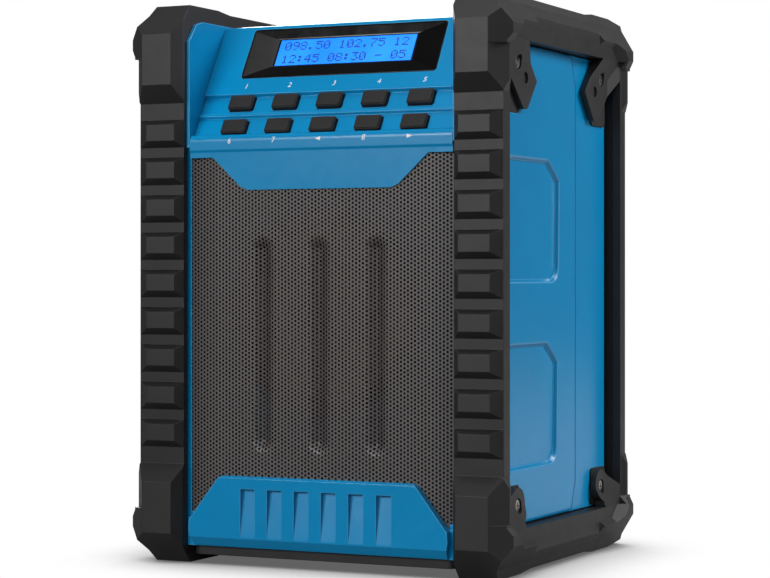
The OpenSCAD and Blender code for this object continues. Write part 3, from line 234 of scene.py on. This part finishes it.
def remap(material, value, low, high, start=0.3, stop=0.7):
    """Turns what lies between start and stop into what lies between low and high."""
    node = material.node_tree.nodes.new("ShaderNodeMapRange")
    node.inputs["From Min"].default_value = start
    node.inputs["From Max"].default_value = stop
    node.inputs["To Min"].default_value = low
    node.inputs["To Max"].default_value = high
    material.node_tree.links.new(value, node.inputs["Value"])
    return node.outputs["Result"]


def clouds(material, scale, detail):
    """A socket between 0 and 1, in soft clouds."""
    return remap(material, noise(material, scale, detail), 0, 1)


def scaled(colour, times, plus=0.0):
    """A colour made darker or lighter, up to white."""
    return [min(1, c * times + plus) for c in colour]


def vary_colour(material, shader, first, second, factor):
    """Base colour between two colours by a factor socket; the first may be a socket itself."""
    links = material.node_tree.links
    mix = material.node_tree.nodes.new("ShaderNodeMix")
    mix.data_type = "RGBA"
    if isinstance(first, bpy.types.NodeSocket):
        links.new(first, mix.inputs["A"])
    else:
        mix.inputs["A"].default_value = (*first, 1)
    mix.inputs["B"].default_value = (*second, 1)
    links.new(factor, mix.inputs["Factor"])
    links.new(mix.outputs["Result"], shader.inputs["Base Color"])
    return mix.outputs["Result"]


def vary_gloss(material, shader, value, low, high):
    """Roughness between two limits by a noise socket."""
    material.node_tree.links.new(remap(material, value, low, high), shader.inputs["Roughness"])


def add_bump(material, shader, height, distance, rounding=0.0):
    """Relief from a height socket, over edges that look rounded by that radius."""
    nodes, links = material.node_tree.nodes, material.node_tree.links
    bump = nodes.new("ShaderNodeBump")
    bump.inputs["Distance"].default_value = distance
    links.new(height, bump.inputs["Height"])
    links.new(bump.outputs["Normal"], shader.inputs["Normal"])
    if rounding:
        edge = nodes.new("ShaderNodeBevel")
        edge.samples = 6
        edge.inputs["Radius"].default_value = rounding
        links.new(edge.outputs["Normal"], bump.inputs["Normal"])


def sharp_edges(material, most):
    """A socket that rises from 0 on flat skin to a limit on sharp outward edges."""
    geometry = material.node_tree.nodes.new("ShaderNodeNewGeometry")
    return remap(material, geometry.outputs["Pointiness"], 0, most, 0.52, 0.6)


def outer_edges(material, reach):
    """A socket that is 1 along outward edges, where little of the solid lies behind the skin."""
    node = material.node_tree.nodes.new("ShaderNodeAmbientOcclusion")
    node.samples = 6
    node.inside = True
    node.only_local = True
    node.inputs["Distance"].default_value = reach
    return remap(material, node.outputs["AO"], 1, 0, 0.5, 0.92)


# ---------- materials ----------

# slot: colour, roughness, depth of the grain, wear of the edges
MOULDED = {
    "cage_plastic": ((0.013, 0.012, 0.0127), 0.45, 0.03, 0.35),
    "inner_black": ((0.012, 0.012, 0.013), 0.55, 0.02, 0),
    "felt": ((0.003, 0.05, 0.1), 0.9, 0.05, 0),
    "soft_rubber": ((0.006, 0.006, 0.0065), 0.75, 0.04, 0),
    "button_rubber": ((0.009, 0.008, 0.0085), 0.55, 0.02, 0.3),
    "display_window": ((0.0004, 0.0004, 0.0006), 0.12, 0, 0),
    "circuit_board": ((0.01, 0.11, 0.04), 0.35, 0.02, 0),
    "cone_paper": ((0.1, 0.085, 0.078), 0.85, 0.08, 0),
    "magnet_ferrite": ((0.09, 0.09, 0.095), 0.6, 0.02, 0),
}
# slot: colour, roughness, stretch of the drawn streaks
METALS = {
    "black_steel": ((0.4, 0.38, 0.37), 0.25, (1, 1, 1)),
    "bright_steel": ((0.6, 0.6, 0.62), 0.3, (1, 1, 1)),
    "sink_aluminium": ((0.7, 0.7, 0.72), 0.35, (1, 1, 0.05)),
    "terminal_brass": ((0.75, 0.55, 0.22), 0.3, (1, 1, 1)),
    "antenna_chrome": ((0.78, 0.78, 0.8), 0.12, (1, 1, 0.03)),
}
MOULDED_EDGE_R = 0.4
BLUE = (0.0, 0.23, 0.5)  # where a viewer skips the nodes
DEEP_BLUE = (0.001, 0.212, 0.455)
FULL_BLUE = (0.001, 0.232, 0.49)
# painted highlight, a paler blue along outward edges
HIGHLIGHT_BLUE = (0.07, 0.36, 0.66)
BLUE_EDGE_R = 0.6
BLUE_HIGHLIGHT_REACH = 0.5  # how far in from an edge the painted highlight reaches
GRILLE_GREY = (0.1, 0.088, 0.084)  # where a viewer skips the nodes
SHEET_GREY = (0.105, 0.094, 0.09)
# painted shade in the pressed grooves
SHADED_GROOVE_GREY = (0.06, 0.053, 0.051)
GROOVE_SHADE = (0.3, 1.6)  # depths behind the sheet's front where the painted shade begins and is full
LIT_BLUE = (0.008, 0.17, 0.86)
BRIGHT_BLUE = (0.018, 0.24, 0.98)
UNLIT_BLUE = (0.01, 0.06, 0.3)  # where a viewer skips the nodes


def moulded(name, colour, roughness, grain, wear):
    """Moulded plastic or rubber: fine spark-eroded grain, uneven gloss, and paler worn edges."""
    material, shader = principled(name, colour, roughness)
    shader.inputs["Specular IOR Level"].default_value = 0.33
    dark, light = scaled(colour, 0.9), scaled(colour, 1.12, 0.002)
    drift = vary_colour(material, shader, dark, light, clouds(material, scale=45, detail=4))
    smears = noise(material, scale=160, detail=5)
    vary_gloss(material, shader, smears, roughness - 0.02, roughness + 0.03)
    add_bump(material, shader, noise(material, scale=2600, detail=2), grain * MM, MOULDED_EDGE_R * MM)
    if wear:
        worn = scaled(colour, 1.8, 0.008)
        vary_colour(material, shader, drift, worn, sharp_edges(material, wear))
    return material


def satin_blue():
    """Glossy blue plastic with small colour drift, and a painted highlight along outward edges."""
    material, shader = principled("cabinet_blue", BLUE, 0.33)
    shader.inputs["Specular IOR Level"].default_value = 0.35
    drift = vary_colour(material, shader, DEEP_BLUE, FULL_BLUE, clouds(material, scale=30, detail=3))
    # painted highlight along outward edges
    vary_colour(material, shader, drift, HIGHLIGHT_BLUE, outer_edges(material, BLUE_HIGHLIGHT_REACH * MM))
    vary_gloss(material, shader, noise(material, scale=220, detail=5), 0.21, 0.27)
    add_bump(material, shader, noise(material, scale=1500, detail=2), 0.006 * MM, BLUE_EDGE_R * MM)
    return material


def metal(name, colour, roughness, stretch):
    """Bare or plated metal with fine drawn streaks."""
    material, shader = principled(name, colour, roughness, 1.0)
    streaks = noise(material, scale=500, detail=6, stretch=stretch)
    vary_gloss(material, shader, streaks, max(0.02, roughness - 0.08), roughness + 0.1)
    add_bump(material, shader, streaks, 0.004 * MM)
    return material


def coated_sheet():
    """Powder-coated steel of the grille, with painted shade that darkens the pressed grooves."""
    material, shader = principled("grille_coat", GRILLE_GREY, 0.42)
    shader.inputs["Specular IOR Level"].default_value = 0.3
    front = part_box("grille")[0].y
    begins, full = [front + depth * MM for depth in GROOVE_SHADE]
    pressed = remap(material, object_y(material), 0, 1, begins, full)
    # painted shade, darker the deeper the sheet is pressed
    vary_colour(material, shader, SHEET_GREY, SHADED_GROOVE_GREY, pressed)
    vary_gloss(material, shader, noise(material, scale=900, detail=3), 0.3, 0.48)
    return material


def display_light():
    """Lit display: bright blue and a little uneven."""
    material, shader = principled("display_light", UNLIT_BLUE, 0.25)
    glow = vary_colour(material, shader, LIT_BLUE, BRIGHT_BLUE, clouds(material, scale=35, detail=2))
    material.node_tree.links.new(glow, shader.inputs["Emission Color"])
    shader.inputs["Emission Strength"].default_value = 0.78
    return material


def groove_shade():
    """Painted shade of the narrow groove between the shells: a matt dark blue."""
    material, shader = principled("seam_shade", (0.0, 0.07, 0.19), 0.9)
    shader.inputs["Specular IOR Level"].default_value = 0.05
    return material


def make_materials():
    """The finish of each material slot of the record, and the felt."""
    finishes = {slot: moulded(slot, *values) for slot, values in MOULDED.items()}
    for slot, values in METALS.items():
        finishes[slot] = metal(slot, *values)
    finishes["cabinet_blue"] = satin_blue()
    finishes["grille_metal"] = coated_sheet()
    finishes["display_panel"] = display_light()
    return finishes


def dress_nodes(finishes):
    """Every CAD solid gets its slot's finish; the felt behind the grille is a dark blue one."""
    slot_of = {s["node"]: s["material_slot"] for s in frame["record"]["subparts"]}
    slot_of["baffle_felt"] = "felt"
    for node, thing in frame["nodes"].items():
        for slot in thing.material_slots:
            slot.material = finishes[slot_of[node]]


# ---------- perforated grille ----------

HOLE_R = 0.6
HOLE_SIDES = 12
COLUMN = 1.65  # from one column of holes to the next
PITCH = 1.8  # from hole to hole in a column
SHEET_T = 1.0
FIRST_CELL = 0.4  # from the sheet's lower edge to the middle of the first cell
PLAIN_BORDER = 1.5  # there are no holes this close to the upper and the lower edge
SPEAKER_SIDE_X = 64.6  # holes reach this far to both sides
GROOVE_X = (-27.7, 0, 27.7)
GROOVE_Z = (50.5, 146.0)
GROOVE_W = 11.5
GROOVE_DEPTH = 2.0
GROOVE_FULLNESS = 0.85  # power of the groove's round section; a lower one is fuller
BEND_X = 51.5  # from here to its side edges the sheet leans back
BEND_W = 13.0
BEND_DEPTH = 1.3
UPPER_MASK = ((36.0, 168.6), (54.2, 183.8))  # ends (x, z) of the upper mask's slanted edge
LOWER_MASK = ((63.5, 18.0), (47.5, 37.6))  # and of the lower one's
SMOOTH_UP_TO = math.radians(30)


def groove_depth(x, z):
    """How far the sheet is pressed in at a point: leaning sides, and grooves with round ends."""
    half = GROOVE_W / 2
    deepest = min(max(abs(x) - BEND_X, 0) / BEND_W, 1) * BEND_DEPTH
    for centre in GROOVE_X:
        nearest_z = min(max(z, GROOVE_Z[0] + half), GROOVE_Z[1] - half)
        away = math.hypot(x - centre, z - nearest_z) / half
        if away < 1:
            section = 0.5 + 0.5 * math.cos(math.pi * away)
            deepest = GROOVE_DEPTH * section**GROOVE_FULLNESS
    return deepest


def slanted_edge(ends, z):
    """Where a mask's slanted edge is at a height."""
    (first_x, first_z), (last_x, last_z) = ends
    return first_x + (last_x - first_x) * (z - first_z) / (last_z - first_z)


def under_mask(x, z):
    """Whether a mask hides this point of the sheet, so that no hole is needed there."""
    if z > UPPER_MASK[0][1] and abs(x) < slanted_edge(UPPER_MASK, z):
        return True
    return z < LOWER_MASK[1][1] and abs(x) < slanted_edge(LOWER_MASK, z)


def cell_corners():
    """Corners of the six-sided cell round a hole, in a lattice of shifted columns."""
    half = PITCH / 2
    near = (COLUMN**2 - half**2) / (2 * COLUMN)
    far = (COLUMN**2 + half**2) / (2 * COLUMN)
    return [(far, 0), (near, half), (-near, half), (-far, 0), (-near, -half), (near, -half)]


class Sheet:
    """A flat outline with holes, gathered cell by cell, then pressed and given its thickness."""

    def __init__(self):
        self.points = {}
        self.faces = []

    def point(self, x, z):
        """The number of a point, which neighbouring cells share."""
        return self.points.setdefault((round(x, 3), round(z, 3)), len(self.points))

    def plain_cell(self, corners):
        """One face without a hole."""
        self.faces.append([self.point(*c) for c in corners])

    def holed_cell(self, x, z, corners):
        """Six faces between a hole's rim and the cell's sides."""
        per_side = HOLE_SIDES // 6
        rim = []
        for i in range(HOLE_SIDES):
            turn = 2 * math.pi * i / HOLE_SIDES
            rim.append(self.point(x + HOLE_R * math.cos(turn), z + HOLE_R * math.sin(turn)))
        outer = [self.point(*c) for c in corners]
        for i in range(6):
            arc = [rim[(i * per_side + k) % HOLE_SIDES] for k in range(per_side + 1)]
            self.faces.append([outer[i], outer[(i + 1) % 6]] + arc[::-1])

    def mesh(self, name, front_y):
        """Front, back and all edge walls, pressed by groove_depth."""
        places = list(self.points)
        count = len(places)
        front = [(x * MM, front_y + groove_depth(x, z) * MM, z * MM) for x, z in places]
        back = [(x, y + SHEET_T * MM, z) for x, y, z in front]
        faces = list(self.faces)
        faces += [[v + count for v in reversed(face)] for face in self.faces]
        edges = {}
        for face in self.faces:
            for a, b in zip(face, face[1:] + face[:1]):
                edges[(a, b)] = True
        faces += [[b, a, a + count, b + count] for (a, b) in edges if (b, a) not in edges]
        mesh = bpy.data.meshes.new(name)
        mesh.from_pydata(front + back, [], faces)
        mesh.update()
        return mesh


def gather_cells(sheet, columns, low, high):
    """Fills these columns between two corners (x, z), with holes where sound passes."""
    rows = int((high[1] - low[1]) / PITCH)
    for i in columns:
        x = i * COLUMN
        for j in range(rows + 1):
            z = low[1] + FIRST_CELL + j * PITCH + (PITCH / 2 if i % 2 else 0)
            if z > high[1] - FIRST_CELL:
                continue
            corners = []
            for dx, dz in cell_corners():
                corner_x = min(max(x + dx, low[0]), high[0])
                corners.append((corner_x, min(max(z + dz, low[1]), high[1])))
            at_border = z > high[1] - PLAIN_BORDER or z < low[1] + PLAIN_BORDER
            if at_border or abs(x) > SPEAKER_SIDE_X or under_mask(x, z):
                sheet.plain_cell(corners)
            else:
                sheet.holed_cell(x, z, corners)


def build_grille(material):
    """The perforated sheet in two halves that meet at the middle, so that each stays a light mesh."""
    low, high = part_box("grille")
    columns = int(high.x / MM / COLUMN)
    for name, chosen in (("grille_left", range(-columns, 0)), ("grille_right", range(0, columns + 1))):
        sheet = Sheet()
        gather_cells(sheet, chosen, (low.x / MM, low.z / MM), (high.x / MM, high.z / MM))
        piece = add_to_scene(name, sheet.mesh(name, low.y))
        piece.data.materials.append(material)
        piece.data.set_sharp_from_angle(angle=SMOOTH_UP_TO)
        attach(piece, "root")
        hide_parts("grille")


# ---------- slopes round the side recesses ----------

SIDE_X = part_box("front_shell")[1].x / MM
RECESS_DEPTH = 1.8
RECESS_H = 54.6
RECESS_FRONT_Y = -63.0
RECESSES = ((125.4, 3.0), (44.5, 1.0))  # lower and rear edge of each
CORNER_R = 8.0  # of the lower rear corner
CORNER_STEPS = 8
REAR_LEAN = 1.0  # how much further back the rear edge is at its top
CUT_DOWN = 9.0  # the cut upper rear corner reaches this far down
CUT_ALONG = 12.0  # and this far forward
CUT_SHIFT = 0.4  # its ends move along their edges by this share of an inset
RAMP_W = 1.9


def recess_outline(low, rear, inset):
    """Points (y, z) from the front along the lower edge, the rear edge and the upper one."""
    high = low + RECESS_H
    radius = CORNER_R - inset
    points = [(RECESS_FRONT_Y, low + inset)]
    for i in range(CORNER_STEPS + 1):
        turn = math.pi / 2 * i / CORNER_STEPS
        y = rear - CORNER_R + radius * math.sin(turn)
        points.append((y, low + CORNER_R - radius * math.cos(turn)))
    points.append((rear + REAR_LEAN - inset, high - CUT_DOWN - CUT_SHIFT * inset))
    points.append((rear - CUT_ALONG - CUT_SHIFT * inset, high - inset))
    points.append((RECESS_FRONT_Y, high - inset))
    return points


def add_ramp(work, side, low, rear):
    """A three-sided bar in the corner between one recess' wall and its floor."""
    floor_x = SIDE_X - RECESS_DEPTH
    edge = recess_outline(low, rear, 0)
    foot = recess_outline(low, rear, RAMP_W)
    rings = []
    for (y, z), (foot_y, foot_z) in zip(edge, foot):
        corners = [(SIDE_X, y, z), (floor_x, foot_y, foot_z), (floor_x, y, z)]
        rings.append([work.verts.new(Vector((side * a, b, c)) * MM) for a, b, c in corners])
    for near, far in zip(rings, rings[1:]):
        for i in range(3):
            work.faces.new([near[i], far[i], far[i - 1], near[i - 1]])
    work.faces.new(rings[0])
    work.faces.new(rings[-1])


def build_recess_ramps(material):
    """Slopes from each side wall down to the floors of its two recesses."""
    for side, name in SIDES:
        work = bmesh.new()
        for low, rear in RECESSES:
            add_ramp(work, side, low, rear)
        bmesh.ops.recalc_face_normals(work, faces=work.faces[:])
        mesh = bpy.data.meshes.new(f"recess_ramps_{name}")
        work.to_mesh(mesh)
        work.free()
        mesh.materials.append(material)
        piece = add_to_scene(mesh.name, mesh)
        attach(piece, "root")


# ---------- painted shade along the shells' parting line ---

PARTING_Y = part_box("front_shell")[1].y / MM
PARTING_TURN = (6.0, 14.0)  # near both its ends the line turns forward, by this (y, z)
CABINET_Z = (20.9, 229.1)
SEAM_W = 0.75
SEAM_LIFT = 0.03  # from the front shell's side wall


def add_flat_piece(name, quads, material, node):
    """Separate flat faces in one mesh that rides with a node's body."""
    points = [corner for quad in quads for corner in quad]
    faces = [list(range(first, first + 4)) for first in range(0, len(points), 4)]
    mesh = bpy.data.meshes.new(name)
    mesh.from_pydata(points, [], faces)
    mesh.materials.append(material)
    piece = add_to_scene(name, mesh)
    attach(piece, frame["nodes"][node]["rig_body"])


def parting_line():
    """The line's points (y, z) from its upper end to the lower one."""
    forward, inward = PARTING_TURN
    low, high = CABINET_Z
    middle = [(PARTING_Y, high - inward), (PARTING_Y, low + inward)]
    return [(PARTING_Y - forward, high), *middle, (PARTING_Y - forward, low)]


def build_seam_shade_bands():
    """A narrow band of painted shade down each side, over the groove behind the front shell's rear
    edge.
    """
    material = groove_shade()
    line = parting_line()
    for side, name in SIDES:
        x = side * (SIDE_X + SEAM_LIFT)
        quads = []
        for (y, z), (next_y, next_z) in zip(line, line[1:]):
            band = [(y, z), (y + SEAM_W, z), (next_y + SEAM_W, next_z), (next_y, next_z)]
            quads.append([Vector((x, a, b)) * MM for a, b in band[::-side]])
        add_flat_piece(f"seam_{name}", quads, material, "front_shell")


# ---------- dots of the display ----------

LEAN = math.radians(31.3)
FOLD = Vector((0, -58.9, 209.9))  # where the panel's own axes start
PANEL_UP = Vector((0, math.sin(LEAN), math.cos(LEAN)))
PANEL_OUT = Vector((0, -math.cos(LEAN), math.sin(LEAN)))
LCD_S = 23.3  # the lit field's middle, up the slope
LCD_H = -1.5  # its height over the panel
DOT_LIFT = 0.03
DOT_PITCH = 0.65
DOT_SIZE = 0.6
CHARACTER_STEP = 3.9
LINE_OFFSET = 3.6  # from the middle of the field to a line's middle
FIRST_X = -31.2  # left edge of the first character
LINES = ("098.50 102.75 12", "12:45 08:30 - 05")
MIDDLE_ROW = 3
DIGITS = {
    "0": "01110 10001 10011 10101 11001 10001 01110",
    "1": "00100 01100 00100 00100 00100 00100 01110",
    "2": "01110 10001 00001 00010 00100 01000 11111",
    "3": "11111 00010 00100 00010 00001 10001 01110",
    "4": "00010 00110 01010 10010 11111 00010 00010",
    "5": "11111 10000 11110 00001 00001 10001 01110",
    "6": "00110 01000 10000 11110 10001 10001 01110",
    "7": "11111 00001 00010 00100 01000 01000 01000",
    "8": "01110 10001 10001 01110 10001 10001 01110",
    "9": "01110 10001 10001 01111 00001 00010 01100",
    ".": "00000 00000 00000 00000 00000 01100 01100",
    ":": "00000 01100 01100 00000 01100 01100 00000",
    "-": "00000 00000 00000 11111 00000 00000 00000",
    " ": "00000 00000 00000 00000 00000 00000 00000",
}


def on_panel(x, s, h):
    """A point of the control panel in metres: across, up the slope and out of it, in millimetres."""
    return (FOLD + Vector((x, 0, 0)) + s * PANEL_UP + h * PANEL_OUT) * MM


def dot(x, s):
    """One square dot from its lower left corner."""
    right, top = x + DOT_SIZE, s + DOT_SIZE
    return [on_panel(a, b, LCD_H + DOT_LIFT) for a, b in ((x, s), (right, s), (right, top), (x, top))]


def build_display_dots():
    """The dark dots of two lines of digits on the lit field."""
    material, _ = principled("display_dots", (0.001, 0.018, 0.22), 0.6)
    quads = []
    for line, middle_s in zip(LINES, (LCD_S + LINE_OFFSET, LCD_S - LINE_OFFSET)):
        for place, character in enumerate(line):
            for row, pattern in enumerate(DIGITS[character].split()):
                s = middle_s + (MIDDLE_ROW - row) * DOT_PITCH - DOT_SIZE / 2
                for column, lit in enumerate(pattern):
                    if lit == "1":
                        quads.append(dot(FIRST_X + place * CHARACTER_STEP + column * DOT_PITCH, s))
    add_flat_piece("display_dots", quads, material, "lcd_module")


# ---------- numbers by the keys ----------

UPPER_LABELS = ("1", "2", "3", "4", "5")
LOWER_LABELS = ("6", "7", "left", "8", "right")
LABEL_HEIGHT = 2.5
DIGIT_SHARE = 0.7  # a digit's height as a share of the font's size
LABEL_SLANT = 0.18
LABEL_LIFT = 0.04
LABEL_STRIPS = 8
ARROW_REACH = 1.3  # from the arrow's middle to its tip
ARROW_FOOT = 0.3
ARROW_HEIGHT = 1.8
UPPER_LABEL_S = 3.1  # foot of the numbers over the upper keys, up the slope
LOWER_LABEL_Z = 187.1  # foot of the numbers under the lower keys
LIP_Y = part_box("control_panel")[0].y / MM  # front of the rolled lip
LIP_R = 3.2
LIP_TURN_Z = 188.25  # height at which the lip starts to roll back


def over_upper_key(x, y):
    """A point over an upper key, across and up from the labels' foot."""
    return on_panel(x, UPPER_LABEL_S + y, LABEL_LIFT)


def under_lower_key(x, y):
    """A point on the lip's skin under a lower key, across and up from the labels' foot."""
    past = LOWER_LABEL_Z + y - LIP_TURN_Z
    if past <= 0:
        return Vector((x, LIP_Y - LABEL_LIFT, LOWER_LABEL_Z + y)) * MM
    turn = past / LIP_R
    reach = LIP_R + LABEL_LIFT
    back = LIP_R - reach * math.cos(turn)
    return Vector((x, LIP_Y + back, LIP_TURN_Z + reach * math.sin(turn))) * MM


def glyph(body):
    """Points and faces of one number in millimetres, centred on x and standing on y 0."""
    text = bpy.data.curves.new("glyph", "FONT")
    text.body = body
    text.size = LABEL_HEIGHT / DIGIT_SHARE
    text.shear = LABEL_SLANT
    text.align_x = "CENTER"
    text.resolution_u = 3
    drawn = bpy.data.objects.new("glyph", text)
    mesh = bpy.data.meshes.new_from_object(drawn)
    bpy.data.objects.remove(drawn)
    return [(v.co.x, v.co.y) for v in mesh.vertices], [tuple(face.vertices) for face in mesh.polygons]


def arrow(direction):
    """Points and faces of a plain arrow to the left (-1) or to the right (1)."""
    tip = direction * ARROW_REACH
    top = ARROW_FOOT + ARROW_HEIGHT
    return [(-tip, ARROW_FOOT), (-tip, top), (tip, ARROW_FOOT + ARROW_HEIGHT / 2)], [(0, 1, 2)]


def add_label(name, outline, material, centre_x, place):
    """One printed mark, cut into low strips so that it follows a curved skin."""
    points, faces = outline
    work = bmesh.new()
    corners = [work.verts.new((x, y, 0)) for x, y in points]
    for face in faces:
        work.faces.new([corners[i] for i in face])
    for step in range(1, LABEL_STRIPS):
        everything = work.verts[:] + work.edges[:] + work.faces[:]
        height = step * LABEL_HEIGHT / LABEL_STRIPS
        bmesh.ops.bisect_plane(work, geom=everything, plane_co=(0, height, 0), plane_no=(0, 1, 0))
    for corner in work.verts:
        corner.co = place(centre_x + corner.co.x, corner.co.y)
    mesh = bpy.data.meshes.new(name)
    work.to_mesh(mesh)
    work.free()
    mesh.materials.append(material)
    piece = add_to_scene(name, mesh)
    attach(piece, frame["nodes"]["control_panel"]["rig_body"])


def build_labels():
    """Numbers 1 to 8 by the keys, and plain arrows under two of the lower ones."""
    material, _ = principled("label_white", (0.8, 0.82, 0.84), 0.5)
    rows = (("upper", UPPER_LABELS, over_upper_key), ("lower", LOWER_LABELS, under_lower_key))
    for row, labels, place in rows:
        for number, label in enumerate(labels, 1):
            low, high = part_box(f"button_{row}_{number}")
            centre_x = (low.x + high.x) / 2 / MM
            if label in ("left", "right"):
                outline = arrow(-1 if label == "left" else 1)
            else:
                outline = glyph(label)
            add_label(f"key_mark_{row}_{number}", outline, material, centre_x, place)


# ---------- scene ----------

add_camera()
materials = make_materials()
dress_nodes(materials)
build_grille(materials["grille_metal"])
build_recess_ramps(materials["cabinet_blue"])
build_seam_shade_bands()
build_display_dots()
build_labels()
add_world()
for lamp in LAMPS:
    add_softbox(*lamp)
add_floor()
bpy.context.scene.view_settings.view_transform = "Standard"
